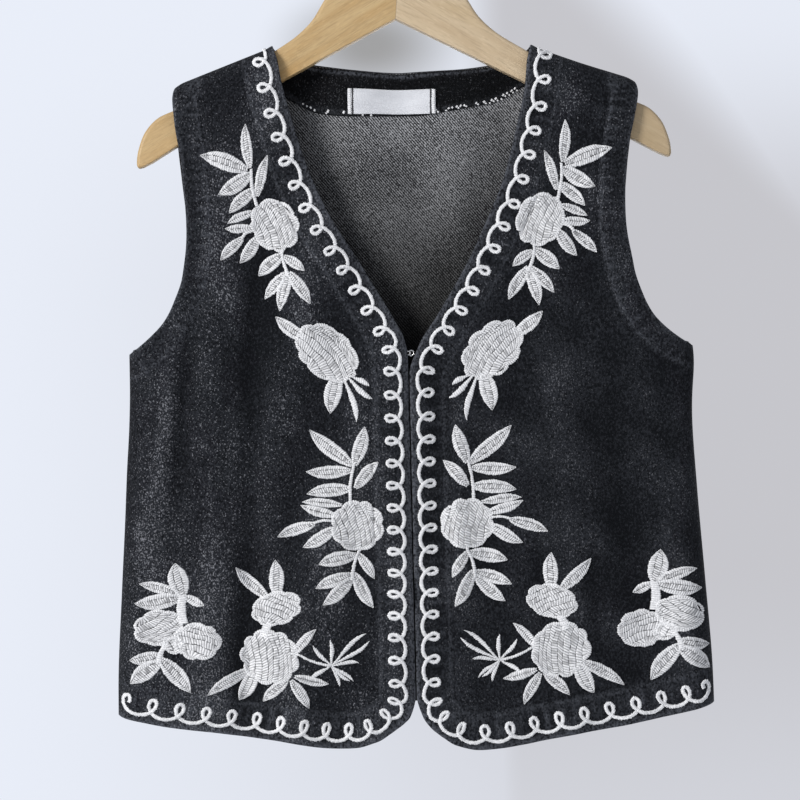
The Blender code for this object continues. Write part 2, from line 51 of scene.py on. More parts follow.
# Heights and the cut of the panels, as in the solids
NECK_LEVEL = -120.0
NECK_HALF = 78.6
NECK_TURN = 74.0
SHOULDER_HALF = 143.5
SHOULDER_FALL = 24.0
ARMPIT_DROP = 188.0
ARMPIT_HALF = 174.2
SIDE_END_DROP = 411.7
SHOULDER_ROLL = 9.0
SIDE_ROLL = 14.0
CORNER_REACH = 8.0
CORNER_CUT = 2.0

# How the vest hangs unevenly. An amount is none at one x and full at another. Down the cloth it
# grows over a reach from a drop, or with a band it is greatest there and fades over the reach.
Sway = namedtuple("Sway", "amount x_none x_full drop reach band")
SPREADS = {  # to the right
    "right side": Sway(1.6, 125, 170, 150, 40, False),
    "right armpit": Sway(2.2, 125, 170, 198, 20, True),
    "right shoulder": Sway(3.2, 105, 141, 28, 24, True),
    "right armhole": Sway(2.0, 105, 141, 138, 26, True),
    "left side": Sway(-1.7, -125, -170, 205, 60, False),
}
LIFTS = {  # upward
    "left shoulder": Sway(2.8, 0, -60, 110, -110, False),
    "right armpit": Sway(-2.6, 125, 160, 180, 17, True),
}
NECK_SPREAD = 2.4
NECK_SPREAD_HALF = 77.5
HEM_LIFT = 1.9
HEM_CORNER_LIFT = 1.8
HEM_CORNER_X = -24.0
HEM_LIFT_DROPS = (385, 425)

ARMHOLE = [  # drop, half width
    (SHOULDER_FALL, SHOULDER_HALF),
    (46, 142.0),
    (75, 138.0),
    (112, 136.1),
    (140, 139.0),
    (158, 145.4),
    (168, 151.0),
    (177, 159.4),
    (185, 169.0),
    (ARMPIT_DROP, ARMPIT_HALF),
]
SIDE = [  # drop, half width
    (ARMPIT_DROP, ARMPIT_HALF),
    (232, 174.5),
    (279, 176.7),
    (335, 180.4),
    (391, 183.8),
    (SIDE_END_DROP, 184.2),
]
FRONT_EDGE = [(403, 0.6), (416, 4.0), (423, 8.8), (428.4, 15.2)]  # drop, half width
NECKLINE = {  # drop, half width
    "left": [(0, NECK_HALF), (23, 75.2), (50, 68.2), (75, 60.4), (108, 45.4), (126, 34.2),
             (151, 19.6), (170, 8.8), (182, 2.8), (194, 0.6)],
    "right": [(0, NECK_HALF), (26, 76.4), (50, 71.0), (87, 60.6), (110, 50.4), (134, 39.0),
              (150, 29.8), (168, 18.6), (185, 7.6), (205, 0.6)],
}
FRONT_HEM = [(15.2, 428.4), (24, 434.0), (37, 436.8), (48, 436.4), (86, 430.3), (133, 422.6),
             (184.2, SIDE_END_DROP)]  # half width, drop
BACK_HEM = [(0, 409.0), (92, 409.6), (184.2, SIDE_END_DROP)]  # half width, drop
BACK_NECK = [(0, 14.9), (30, 14.0), (52, 11.8), (66, 8.8), (NECK_TURN, 5.8), (NECK_HALF, 0)]

# How far each outer face stands from the plane of the seams: drop, depth
DEPTHS = {
    "front": [(0, 9.4), (60, 10.0), (130, 11.5), (220, 14.5), (320, 17.5), (440, 20.5)],
    "back": [(0, 9.4), (60, 9.8), (130, 10.4), (220, 12.0), (320, 13.0), (440, 14.0)],
}

# Troughs have a depth above zero and ridges one below it
Fold = namedtuple("Fold", "x_top drop_top x_low drop_low width depth")
FOLDS = {
    "left": [
        Fold(-132, 150, -150, 330, 7.0, 4.4),
        Fold(-149, 225, -160, 470, 12.0, -2.6),
        Fold(-118, 150, -124, 420, 10.0, -2.2),
        Fold(-92, 120, -108, 470, 8.0, 4.4),
        Fold(-60, 250, -66, 470, 16.0, -2.0),
        Fold(-13, 215, -12, 460, 9.0, -1.8),
    ],
    "right": [
        Fold(19, 175, 15, 360, 7.5, 4.0),
        Fold(30, 190, 27, 430, 6.0, -2.2),
        Fold(88, 150, 96, 470, 16.0, -2.2),
        Fold(128, 170, 140, 430, 10.0, 2.8),
        Fold(160, 240, 168, 470, 10.0, -1.8),
    ],
    "back": [
        Fold(-120, 150, -138, 450, 13.0, 3.0),
        Fold(-58, 90, -66, 470, 20.0, -2.2),
        Fold(12, 120, 4, 470, 17.0, 2.6),
        Fold(72, 100, 84, 470, 20.0, -2.0),
        Fold(134, 160, 150, 430, 12.0, 3.0),
    ],
}

# Smaller creases, which the solids leave out
CREASES = {
    "left": [
        Fold(-152, 195, -166, 300, 4.5, 0.9),
        Fold(-166, 215, -173, 400, 6.0, -0.7),
        Fold(-112, 190, -121, 330, 5.0, 0.8),
        Fold(-84, 120, -92, 260, 6.0, 0.7),
        Fold(-52, 130, -44, 240, 7.0, 0.6),
        Fold(-38, 290, -34, 415, 6.0, 0.7),
        Fold(-120, 60, -104, 170, 6.0, 0.6),
        Fold(-88, 300, -80, 425, 7.0, 0.6),
        Fold(-146, 330, -150, 430, 5.0, 0.7),
    ],
    "right": [
        Fold(156, 200, 168, 310, 5.0, 0.9),
        Fold(120, 130, 132, 250, 6.0, 0.8),
        Fold(70, 130, 62, 260, 7.0, 0.7),
        Fold(46, 280, 40, 415, 6.0, 0.8),
        Fold(108, 290, 116, 425, 6.0, 0.7),
        Fold(100, 50, 112, 150, 6.0, 0.6),
        Fold(146, 320, 158, 430, 5.0, 0.8),
        Fold(78, 300, 84, 430, 6.0, 0.6),
    ],
    "back": [
        Fold(-150, 200, -164, 330, 5.0, 0.9),
        Fold(-94, 60, -84, 220, 7.0, 0.7),
        Fold(-30, 60, -22, 260, 8.0, 0.8),
        Fold(40, 40, 34, 200, 8.0, 0.7),
        Fold(98, 180, 106, 400, 7.0, 0.8),
        Fold(152, 210, 166, 340, 5.0, 0.9),
        Fold(-36, 270, -44, 420, 7.0, 0.7),
        Fold(46, 280, 52, 420, 7.0, 0.7),
    ],
}
RIPPLE_SEEDS = {"left": 3, "right": 8, "back": 14}
RIPPLE_COUNT = 12
RIPPLE_LENGTHS = (14, 62)
RIPPLE_HEADING = 0.55
SIDE_PAINTED_LIGHT = [(-115, 0.30), (-85, 0.04), (-40, 0.02), (0, 0.0), (120, -0.27)]  # x, how much paler as painted light from the left, below zero darker as painted shade
RIPPLE_SHARE = 0.0075
# How much of the fold relief and ripples is painted into the colour, as painted light on ridges and painted
# shade in troughs
FOLD_PAINTED_LIGHT = 0.30
CREASE_PAINTED_LIGHT = 0.55
RIPPLE_PAINTED_LIGHT = 0.5
BACK_PAINTED_LIGHT = 0.55

# Turned edges: where the facing behind a free edge ends, and the puckers along it
Turning = namedtuple("Turning", "reach groove lift pucker_at pucker_width pucker_pitch pucker")
TURNINGS = {
    "rim": Turning(23.0, 0.75, 0.50, 13.0, 9.0, 8.6, 0.22),
    "hem": Turning(21.5, 0.60, 0.40, 14.0, 9.0, 8.4, 0.45),
    "armhole": Turning(17.0, 0.75, 0.50, 11.0, 7.0, 6.2, 0.34),
    "neck": Turning(27.0, 0.15, 0.12, 4.0, 3.0, 7.0, 0.08),
}
PUCKER_DRIFTS = [(1.7, 23.0, 0.0), (1.1, 9.7, 1.0)]  # amount, length, start
EDGE_ROUND = 2.2
EDGE_DROP = 0.45
RIM_BULGE = 0.42
GROOVE_WIDTH = 1.3
# A painted highlight along the very edge, where the cloth turns to the light, then wear near the rims, on
# the ridges and on the puckers
EDGE_HIGHLIGHT = 0.75
EDGE_HIGHLIGHT_WIDTH = 1.3
RIM_WEAR = 0.42
RIM_WEAR_WIDTH = 4.5
RIDGE_WEAR = 0.35
RIDGE_OFFSET = 2.2
PUCKER_WEAR = 0.5

# Finest spacing of the cloth meshes
FRONT_COLUMNS = 96
BACK_COLUMNS = 150
ROLL_COLUMNS = 12
SIDE_ROWS = 132
ARMHOLE_ROWS = 96
ROLL_ROWS = 8

# Facing of the back neck and the blank woven label: half width, drop
FACING_TOP = [(0, 15.6), (52, 12.8), (62, 10.6)]
FACING_LOW = [(0, 41.4), (36, 41.8), (52, 40.4), (80, 27.6)]
FACING_RISE = 5.0
FACING_HEIGHT = 28.0
FACING_CELLS = (120, 22)
LABEL_CENTRE = (-6.7, 33.2)
LABEL_SIZE = (54.6, 15.2)
LABEL_PUFF = 0.25
LABEL_CELLS = (90, 26)

# Embroidered sprigs. A place is given outward from the front edge and down from the neck
# points. A leaf's root is outward and up from there, and its angle is turned from outward
# towards up. A stem runs between two such points. A flower's rows of stitches follow its grain.
Leaf = namedtuple("Leaf", "out up angle length width")
Stem = namedtuple("Stem", "out up end_out end_up width")
Flower = namedtuple("Flower", "out up length width angle petals grain")
SPRIG_PLACES = {
    "yoke": (81, 110),
    "chest": (51, 188),
    "waist": (34, 297),
    "hem": (90, 377),
    "side": (146, 363),
}
SPRIG_SHIFTS = {  # outward, down
    ("chest", "left"): (-0.6, 1.9),
    ("side", "left"): (0.0, -1.9),
    ("yoke", "right"): (2.5, 0.0),
    ("chest", "right"): (1.2, 2.2),
    ("hem", "right"): (0.0, -1.0),
    ("side", "right"): (5.6, -3.7),
}
SPRIG_FLOWERS = {
    "yoke": [Flower(0, 0, 34, 29, 60, 8, 66)],
    "chest": [Flower(0, 0, 44, 30, 42, 9, 50)],
    "waist": [Flower(0, 0, 33, 31, 0, 8, 74)],
    "hem": [Flower(-5, 30, 32, 21, 165, 7, 22), Flower(0, 0, 37, 34, 20, 9, 84)],
    "side": [Flower(11, 4, 30, 22, 170, 6, 150), Flower(-12, -5, 29, 23, 5, 7, 16),
             Flower(2, -7, 15, 11, 15, 5, 60)],
}
SPRIG_STEMS = {
    "yoke": [Stem(14, 35, 11, 12, 2.2), Stem(14, -3, 21, -8, 2.2), Stem(-4, -15, -8, -31, 2.2)],
    "chest": [],
    "waist": [Stem(1, 39, 4, 13, 2.2), Stem(14, 3, 27, 2, 1.8), Stem(-1, -15, 4, -34, 2.2)],
    "hem": [Stem(-1, 21, 3, 12, 5.5), Stem(-17, 2, -38, -6, 1.8)],
    "side": [Stem(-4, 24, -4, 6, 6.0), Stem(6, -6, 11, -18, 3.5)],
}
SPRIG_LEAVES = {
    "yoke": [
        Leaf(15, 35, 83, 27, 7),
        Leaf(16, 34, 21, 31, 10.5),
        Leaf(14, 32, -34, 24, 9.5),
        Leaf(12, 23, -40, 22, 8),
        Leaf(11, 18, 104, 26, 6.5),
        Leaf(13, 9, -21, 18, 5.5),
        Leaf(14, -1, -4, 17, 6),
        Leaf(20, -7, -42, 20, 7),
        Leaf(10, -6, -57, 21, 8),
        Leaf(-4, -18, -38, 20, 9),
        Leaf(-5, -19, -146, 16, 6.6),
        Leaf(-7, -29, -46, 22, 7.5),
        Leaf(-8, -29, -125, 24, 8),
        Leaf(-8, -29, -73, 25, 8),
    ],
    "chest": [
        Leaf(13, 8, 37, 24, 8.5),
        Leaf(-6, -13, -76, 25, 11),
        Leaf(-15, -15, -156, 12, 3.4),
        Leaf(-12, -15, -132, 21, 3.6),
        Leaf(-10, -15, -110, 29, 3.8),
    ],
    "waist": [
        Leaf(2, 37, 38, 35, 9.5),
        Leaf(1, 37, 109, 25, 9),
        Leaf(3, 34, -3, 28, 8.2),
        Leaf(3, 23, -3, 28, 8.6),
        Leaf(1, 23, 130, 22, 8),
        Leaf(9, 13, 8, 25, 5.6),
        Leaf(12, 6, 15, 24, 6.4),
        Leaf(26, 2, -16, 25, 7.5),
        Leaf(13, -1, -32, 24, 8),
        Leaf(1, -18, -10, 24, 9),
        Leaf(0, -17, -124, 19, 6.6),
        Leaf(4, -30, -17, 24, 8),
        Leaf(4, -33, -43, 24, 8.4),
        Leaf(3, -29, -115, 25, 8.4),
    ],
    "hem": [
        Leaf(0, 36, 42, 28, 8),
        Leaf(-5, 37, 92, 23, 9.5),
        Leaf(-14, 1, 131, 22, 6),
        Leaf(-15, -12, -163, 22, 6),
        Leaf(-13, -14, -122, 22, 7),
        Leaf(-11, -14, -39, 21, 7.4),
        Leaf(9, -8, -64, 22, 10),
        Leaf(12, -7, -28, 31, 7.5),
        Leaf(-38, -6, 133, 29, 2.8),
        Leaf(-38, -6, 154, 28, 2.6),
        Leaf(-38, -6, 170, 17, 2.6),
        Leaf(-38, -6, 94, 16, 2.8),
        Leaf(-38, -6, 44, 17, 2.6),
        Leaf(-38, -6, -27, 16, 2.8),
        Leaf(-38, -6, -148, 17, 2.3),
        Leaf(-38, -6, -133, 15, 2.3),
        Leaf(-38, -6, -116, 14, 2.3),
    ],
    "side": [
        Leaf(-4, 23, 75, 21, 12),
        Leaf(-3, 24, 19, 26, 7),
        Leaf(-3, 22, -9, 28, 10),
        Leaf(-5, 23, -150, 13, 6),
        Leaf(9, -13, -11, 20, 8),
        Leaf(10, -17, -33, 23, 10.5),
        Leaf(10, -15, -131, 28, 10.5),
    ],
}
LEAF_FORM = [(0, 0.30), (0.12, 0.62), (0.32, 0.93), (0.5, 1.0), (0.7, 0.86), (0.87, 0.48), (1, 0.04)]
BLADE_FORM = [(0, 0.30), (0.25, 0.55), (0.55, 1.0), (0.8, 0.85), (1, 0.12)]
LEAF_BEND = 0.05
BLADE_BEND = 0.10
SLIM_LEAF = 4.5
LEAF_BANDS = [  # least width, edges of the bands across it, dashes at both edges of each band
    (6.5, (-1.0, -0.36, 0.36, 1.0), ((0.0, 0.6), (1.0, 1.0), (0.6, 0.0))),
    (SLIM_LEAF, (-1.0, 0.0, 1.0), ((0.0, 0.8), (0.8, 0.0))),
    (0.0, (-1.0, 1.0), ((0.0, 0.0),)),
]
SCALLOP = 0.15

# Satin stitches. Where the ends of two bands don't meet, the cloth shows as a dark dash
STITCH_PITCH = 1.4
STITCH_ROWS = 3
STITCH_SLANT = 0.9
STITCH_JITTER = 0.3
STITCH_PROFILE = [(0.0, 0.15), (0.12, 0.72), (0.30, 1.0), (0.70, 1.0), (0.88, 0.72), (1.0, 0.15)]
STITCH_WANDER = (-0.7, 1.0)
STITCH_HEIGHTS = (0.82, 1.06)
STITCH_FULL_WIDTH = 1.6
DASH_PROFILE = [0.75, 0.9, 0.75, 0.2, 0.0, 0.0]
DASH_SHARE = 0.22
DASH_DEPTH = 0.7
DASH_LEVELS = (0.62, 0.92)
COMB_DEPTHS = (0.45, 1.0)
GROOVE = 0.35
# Painted shade in the grooves between stitches
GROOVE_SHADE = 0.32
GROOVE_WANDER = -0.5
LEAF_CROWN = 0.8
RIB_SHARE = 0.84
FLOWER_BASE = 0.30
FLOWER_CROWN = 0.75
FLOWER_COLUMN = 3.3
FLOWER_RIM = 2.1
FLOWER_BOW = 0.011
FLOWER_PITCH = 1.6

# Looped border. Its centre line is a curve of loops along the rim of a front
BORDER_WIDTH = 2.4
BORDER_CROWN = 0.95
BORDER_STITCH = 0.8
BORDER_SWING = 2.2
BORDER_SKEW = 0.05
BORDER_PASS = 0.55
BORDER_START = 0.3
BORDER_END = 0.8
BORDER_STEP = 0.12
BORDER_SIGHT = 4.0
BORDER_PLANS = {  # distance along the rim, loops so far, middle distance from the rim, reach
    "left": [
        (-2, -0.72, 9.9, 4.7),
        (9.6, 0, 9.9, 4.7),
        (98.9, 6, 9.7, 4.7),
        (187.5, 12, 9.5, 4.8),
        (203.5, 13, 9.5, 4.8),
        (219.5, 14, 9.4, 4.8),
        (304, 20, 9.2, 4.9),
        (412.6, 28, 10.4, 4.9),
        (480, 32, 9.8, 5.2),
        (538.8, 36, 9.6, 5.3),
        (603, 40, 9.6, 5.3),
        (619.5, 41, 9.6, 5.3),
        (625, 41.35, 9.6, 5.3),
    ],
    "right": [
        (-2, -0.58, 9.9, 4.7),
        (6.8, 0, 9.9, 4.7),
        (128.2, 8, 9.6, 4.8),
        (199.8, 13, 9.3, 4.8),
        (233, 15, 9.2, 4.8),
        (303, 20, 8.9, 4.9),
        (412, 28, 9.0, 4.9),
        (459.5, 31, 9.2, 5.1),
        (479.6, 32, 9.4, 5.2),
        (543.4, 36, 9.6, 5.3),
        (606.8, 40, 9.6, 5.3),
        (619.8, 41, 9.6, 5.3),
        (625, 41.35, 9.6, 5.3),
    ],
}

# Overlock along the lower edge of the facing, and the bars that hold the label
OVERLOCK_PITCH = 2.5
OVERLOCK_REACH = 1.5
OVERLOCK_WIDTH = 1.25
OVERLOCK_ENDS = 72.0
OVERLOCK_TURN = 12.0
OVERLOCK_LEFT = 0.2
OVERLOCK_RIGHT = (0.5, 0.85)
BAR_HALF = 26.3
BAR_WIDTH = 1.8
GAP_HALF = 24.6
GAP_WIDTH = 1.0

# Hanger arms, sawn from one outline: half width, drop
HANGER_THICKNESS = 10.0
HANGER_JOINT = 0.12
HANGER_SHIFT = -3.3
HANGER_TOP = [(0, -58), (9, -57.5), (25, -52), (36.5, -41.5), (44.4, -29.9), (52, -17.9), (61.6, -8.6),
              (71.5, -1.9), (80, 3.2), (88, 8.2)]
HANGER_TIP = [(142, 36.2), (153, 41), (161, 49.5), (165.3, 60), (166.6, 68), (165.8, 71.6), (163, 71.2)]
HANGER_LOW = [(157, 68.4), (80, 23.8), (12, -11.4), (0, -17.6)]
HANGER_ARRIS = 2.4
HANGER_SMALL_ARRIS = 0.5
ARRIS_STEPS = 5

# Camera and the level of the floor
VIEW_DISTANCE = 1600.0
VIEW_PLANE = -12.0
VIEW_CENTRE = (-5.92, -340.0)
VIEW_WIDTH = 496.0
VIEW_ROLL = 1.3
SENSOR_WIDTH = 36.0
FLOOR_LEVEL = -1250.0
FLOOR_HALF = 2600.0

# Surroundings, with painted shade and painted shadows on the backdrop
WALL_PALE = (0.82, 0.86, 0.95)
WALL_SHADOW = (0.565, 0.565, 0.60)
WALL_LIGHT = 0.42
HANGER_SHADOW_HEADING = (-0.0050, 0.9906, 0.1365)
HANGER_SHADOW_STRETCH = (0.6, 1.0, 1.0)
HANGER_SHADOW_REACH = (0.002, 0.028)
HANGER_SHADOW_COLOUR = (0.36, 0.36, 0.365)

# Colours, as dark and light pairs where there are two
DENIM = ((0.0035, 0.0041, 0.0055), (0.0235, 0.0256, 0.0310))
DENIM_FLECK = (0.22, 0.225, 0.245)
DENIM_WORN_AND_HIGHLIT = (0.105, 0.112, 0.130)
# The facing is the outer denim painted darker with fewer specks, as painted shade inside the back neck
FACING_SHADED_TONE = 0.25
FACING_SHADED_SPECKS = 0.3
INSIDE_WARP_SHADED_AND_LIT = ((0.006, 0.006, 0.006), (0.014, 0.0145, 0.016))  # painted shadow low inside, lit at the neck; the same for the weft pair below
INSIDE_WEFT_SHADED_AND_LIT = ((0.030, 0.0295, 0.0275), (0.425, 0.43, 0.445))
SATIN = ((0.56, 0.57, 0.60), (0.63, 0.64, 0.67))
STEEL = ((0.60, 0.60, 0.61), (0.70, 0.70, 0.71))
FLOOR_PAINT = ((0.78, 0.79, 0.81), (0.82, 0.83, 0.85))
THREADS = {  # low, high, and the dark between the stitches, where the cloth shows and as painted shade in their grooves
    "white": ((0.65, 0.655, 0.67), (0.83, 0.83, 0.84), (0.105, 0.105, 0.11)),
    "cord": ((0.74, 0.745, 0.76), (0.90, 0.90, 0.91), (0.16, 0.16, 0.165)),
    "dark": ((0.015, 0.015, 0.018), (0.03, 0.03, 0.034), (0.01, 0.01, 0.01)),
}
Wood = namedtuple("Wood", "name tilt light dark stain tip")
WOODS = {
    "left": Wood("wood_golden", 31, (0.52, 0.375, 0.195), (0.45, 0.305, 0.145), (0.43, 0.255, 0.090), 0.25),
    "right": Wood("wood_pale", -31, (0.55, 0.435, 0.29), (0.47, 0.355, 0.225), (0.45, 0.33, 0.185), 0.55),
}

# Soft square lights, in metres
Lamp = namedtuple("Lamp", "place aim size power colour")
LAMPS = {
    "key": Lamp((-1.9, -1.7, 0.55), (0.0, 0.0, -0.33), 0.9, 66.0, (1.0, 0.99, 0.98)),
    "fill": Lamp((1.7, -1.6, 0.1), (0.0, 0.0, -0.35), 1.6, 9.0, (0.95, 0.97, 1.0)),
    "behind": Lamp((0.6, 2.2, 0.2), (0.0, 0.0, -0.35), 1.8, 30.0, (0.97, 0.98, 1.0)),
}

# Seeds of the random draws. A sprig's is its number, and a step more on the right
BORDER_SEED = 40
OVERLOCK_SEED = 60
BAR_SEED = 61
SPRIG_SEED_STEP = 10


def lerp(start, end, share):
    return start + (end - start) * share


def smooth_step(share):
    share = np.clip(share, 0.0, 1.0)
    return share * share * (3.0 - 2.0 * share)


def between(value, start, end):
    """Eased share of the way from a start to an end."""
    return smooth_step((value - start) / (end - start))


def bell(distance, width):
    return np.exp(-(distance / width) ** 2)


def unit(vectors):
    return vectors / np.linalg.norm(vectors, axis=-1, keepdims=True)


def left_of(vectors):
    return np.stack([-vectors[..., 1], vectors[..., 0]], -1)


def distances(line):
    """Distance of each point of a line from its start, along it."""
    steps = np.diff(line, axis=0)
    return np.concatenate([[0.0], np.cumsum(np.hypot(steps[:, 0], steps[:, 1]))])


def points_at(line, places, at):
    return np.stack([np.interp(at, places, line[:, k]) for k in (0, 1)], -1)


def curve(rows, at):
    """Second column at values of the first, on a smooth curve that never overshoots."""
    keys, values = (np.array([row[k] for row in rows], float) for k in (0, 1))
    slopes = np.diff(values) / np.diff(keys)
    before, after = slopes[:-1], slopes[1:]
    same_way = before * after > 0
    total = np.where(same_way, before + after, 1.0)
    inner = np.where(same_way, 2 * before * after / total, 0.0)
    tangents = np.concatenate([slopes[:1], inner, slopes[-1:]])
    at = np.clip(np.asarray(at, float), keys[0], keys[-1])
    i = np.clip(np.searchsorted(keys, at, side="right") - 1, 0, len(slopes) - 1)
    span = keys[i + 1] - keys[i]
    t = (at - keys[i]) / span
    bend = span * (t * (1 - t) ** 2 * tangents[i] - t * t * (1 - t) * tangents[i + 1])
    return lerp(values[i], values[i + 1], smooth_step(t)) + bend


def corner_rounding(beyond):
    """How much the shoulder's corner is cut back where a line is this far beyond its start."""
    return CORNER_CUT * np.clip((beyond + CORNER_REACH) / CORNER_REACH, 0.0, None) ** 2


def outer_half(drop):
    armhole = curve(ARMHOLE, drop) - corner_rounding(SHOULDER_FALL - drop)
    return np.where(drop < ARMPIT_DROP, armhole, curve(SIDE, drop))


def inner_half(side, drop):
    return curve(NECKLINE[side] + FRONT_EDGE, drop)


def shoulder_drop(half):
    sloped = SHOULDER_FALL * (half - NECK_HALF) / (SHOULDER_HALF - NECK_HALF)
    return sloped + corner_rounding(half - SHOULDER_HALF)


def shoulder_corner():
    """Half width and drop at which the rounded shoulder meets the armhole."""
    half = SHOULDER_HALF
    for _ in range(40):
        half = float(outer_half(shoulder_drop(half)))
    return half, float(shoulder_drop(half))


CORNER_HALF, CORNER_DROP = shoulder_corner()


def roll(distance, radius):
    """Share of the full depth at a distance from a seam that the cloth turns over."""
    share = np.clip(distance / radius, 0.0, 1.0)
    return np.sqrt(1.0 - (1.0 - share) ** 2)


def side_distance(half, drop):
    beside_armhole = np.hypot(ARMPIT_HALF - half, ARMPIT_DROP - drop)
    return np.where(drop < ARMPIT_DROP, beside_armhole, outer_half(drop) - half)


def shoulder_distance(half, drop):
    slope = math.atan2(SHOULDER_FALL, SHOULDER_HALF - NECK_HALF)
    return (drop - shoulder_drop(half)) * math.cos(slope)


def edge_lines(panel):
    """Free edges of a panel, each a line through points of x and drop."""
    armhole_drops = np.linspace(CORNER_DROP, ARMPIT_DROP, 46)
    armhole = np.stack([outer_half(armhole_drops - 1e-6), armhole_drops], axis=1)
    mirror = np.array([-1.0, 1.0])
    if panel == "back":
        halves = np.linspace(0, NECK_HALF, 16)
        neck = np.stack([halves, curve(BACK_NECK, halves)], axis=1)
        halves = np.linspace(0, SIDE[-1][1], 12)
        hem = np.stack([halves, curve(BACK_HEM, halves)], axis=1)
        return {
            "neck": [np.concatenate([neck[:0:-1] * mirror, neck])],
            "hem": [np.concatenate([hem[:0:-1] * mirror, hem])],
            "armhole": [armhole, armhole * mirror],
        }
    drops = np.concatenate([np.linspace(0, 403, 72), np.linspace(405, 428.4, 8)])
    edge = np.stack([inner_half(panel, drops), drops], axis=1)
    halves = np.concatenate([np.linspace(17, 50, 8), np.linspace(58, SIDE[-1][1], 12)])
    hem = np.stack([halves, curve(FRONT_HEM, halves)], axis=1)
    sign = mirror if panel == "left" else np.ones(2)
    return {
        "rim": [np.concatenate([edge, hem]) * sign],
        "hem": [hem * sign],
        "armhole": [armhole * sign],
    }


EDGES = {panel: edge_lines(panel) for panel in FOLDS}


def along_line(line, x, drop):
    """Distance to a line through points, and how far along it the nearest place is."""
    steps = np.diff(line, axis=0)
    lengths = np.hypot(steps[:, 0], steps[:, 1])
    places = np.stack([np.ravel(x), np.ravel(drop)], axis=1)
    best = np.full(len(places), np.inf)
    where = np.zeros(len(places))
    before = 0.0
    for start, step, length in zip(line, steps, lengths):
        offset = places - start
        share = np.clip(offset @ step / length ** 2, 0.0, 1.0)
        gap = np.hypot(offset[:, 0] - share * step[0], offset[:, 1] - share * step[1])
        closer = gap < best
        best[closer] = gap[closer]
        where[closer] = before + share[closer] * length
        before += length
    return best.reshape(np.shape(x)), where.reshape(np.shape(x))


def fold_relief(folds, x, drop):
    relief = 0.0
    for fold in folds:
        along = (drop - fold.drop_top) / (fold.drop_low - fold.drop_top)
        fade = smooth_step(4 * along) * smooth_step(2.5 * (1 - along))
        relief = relief + fold.depth * fade * bell(x - lerp(fold.x_top, fold.x_low, along), fold.width)
    return relief


def ripples(panel, x, drop):
    """Slight unevenness of cloth that hangs, in waves that run mostly downward."""
    chance = np.random.default_rng(RIPPLE_SEEDS[panel])
    relief = 0.0
    for _ in range(RIPPLE_COUNT):
        wavelength = chance.uniform(*RIPPLE_LENGTHS)
        heading = chance.normal(0.0, RIPPLE_HEADING)
        phase = chance.uniform(0.0, 2 * math.pi)
        across = x * math.cos(heading) + drop * math.sin(heading)
        relief = relief + RIPPLE_SHARE * wavelength * np.sin(2 * math.pi * across / wavelength + phase)
    return relief


def turning_relief(panel, x, drop):
    """Outward relief of the turned edges, and how worn each place is, with a painted highlight along the
    very edge.
    """
    relief = 0.0
    wear_and_highlight = 0.0
    nearest = np.full(np.shape(x), np.inf)
    for kind, lines in EDGES[panel].items():
        turning = TURNINGS[kind]
        for line in lines:
            distance, along = along_line(line, x, drop)
            wobble = sum(amount * np.sin(along / length + start) for amount, length, start in PUCKER_DRIFTS)
            wave = np.sin(2 * math.pi * (along + wobble) / turning.pucker_pitch)
            pucker = bell(distance - turning.pucker_at, turning.pucker_width) * wave
            uneven = 0.65 + 0.35 * np.sin(along / 31.0 + 2.0)
            relief = relief + turning.pucker * pucker * uneven
            if kind != "hem" or panel == "back":
                relief = relief + turning.lift * between(distance, turning.reach, turning.reach - 4.0)
                relief = relief - turning.groove * bell(distance - turning.reach, GROOVE_WIDTH)
                wear_and_highlight = wear_and_highlight + RIDGE_WEAR * bell(distance - turning.reach + RIDGE_OFFSET, GROOVE_WIDTH)
            rubbed = np.clip(pucker, 0.0, 1.0) ** 2 * min(turning.pucker * 3, 1.0)
            wear_and_highlight = wear_and_highlight + PUCKER_WEAR * rubbed
            if kind in ("rim", "neck"):
                wear_and_highlight = wear_and_highlight + RIM_WEAR * bell(distance, RIM_WEAR_WIDTH)
            nearest = np.minimum(nearest, distance)
    relief = relief - EDGE_DROP * np.clip(1.0 - nearest / EDGE_ROUND, 0.0, 1.0) ** 2
    # Painted highlight along the very edge of the cloth
    wear_and_highlight = wear_and_highlight + EDGE_HIGHLIGHT * np.exp(-nearest / EDGE_HIGHLIGHT_WIDTH)
    return relief, wear_and_highlight


def seam_fade(x, drop):
    beside = smooth_step(side_distance(np.abs(x), drop) / SIDE_ROLL)
    return beside * smooth_step(shoulder_distance(np.abs(x), drop) / (2 * SHOULDER_ROLL))


def sway(rows, x, drop):
    """Sum of what the rows of a table move each place by."""
    total = 0.0
    for row in rows.values():
        if row.band:
            down = bell(drop - row.drop, row.reach)
        else:
            down = between(drop, row.drop, row.drop + row.reach)
        total = total + row.amount * down * between(x, row.x_none, row.x_full)
    return total


def spread(x, drop):
    """How much further to the right each place hangs than in its plan."""
    neck = NECK_SPREAD * bell(drop, 7) * bell(np.abs(x) - NECK_SPREAD_HALF, 6) * np.sign(x)
    return sway(SPREADS, x, drop) + neck


def lift(x, drop):
    """How much higher each place hangs than in its plan."""
    hem = HEM_LIFT * between(x, 0, -12) * between(x, -170, -110)
    hem = hem + HEM_CORNER_LIFT * bell(x - HEM_CORNER_X, 18) * between(x, 0, -8)
    return sway(LIFTS, x, drop) + hem * between(drop, *HEM_LIFT_DROPS)


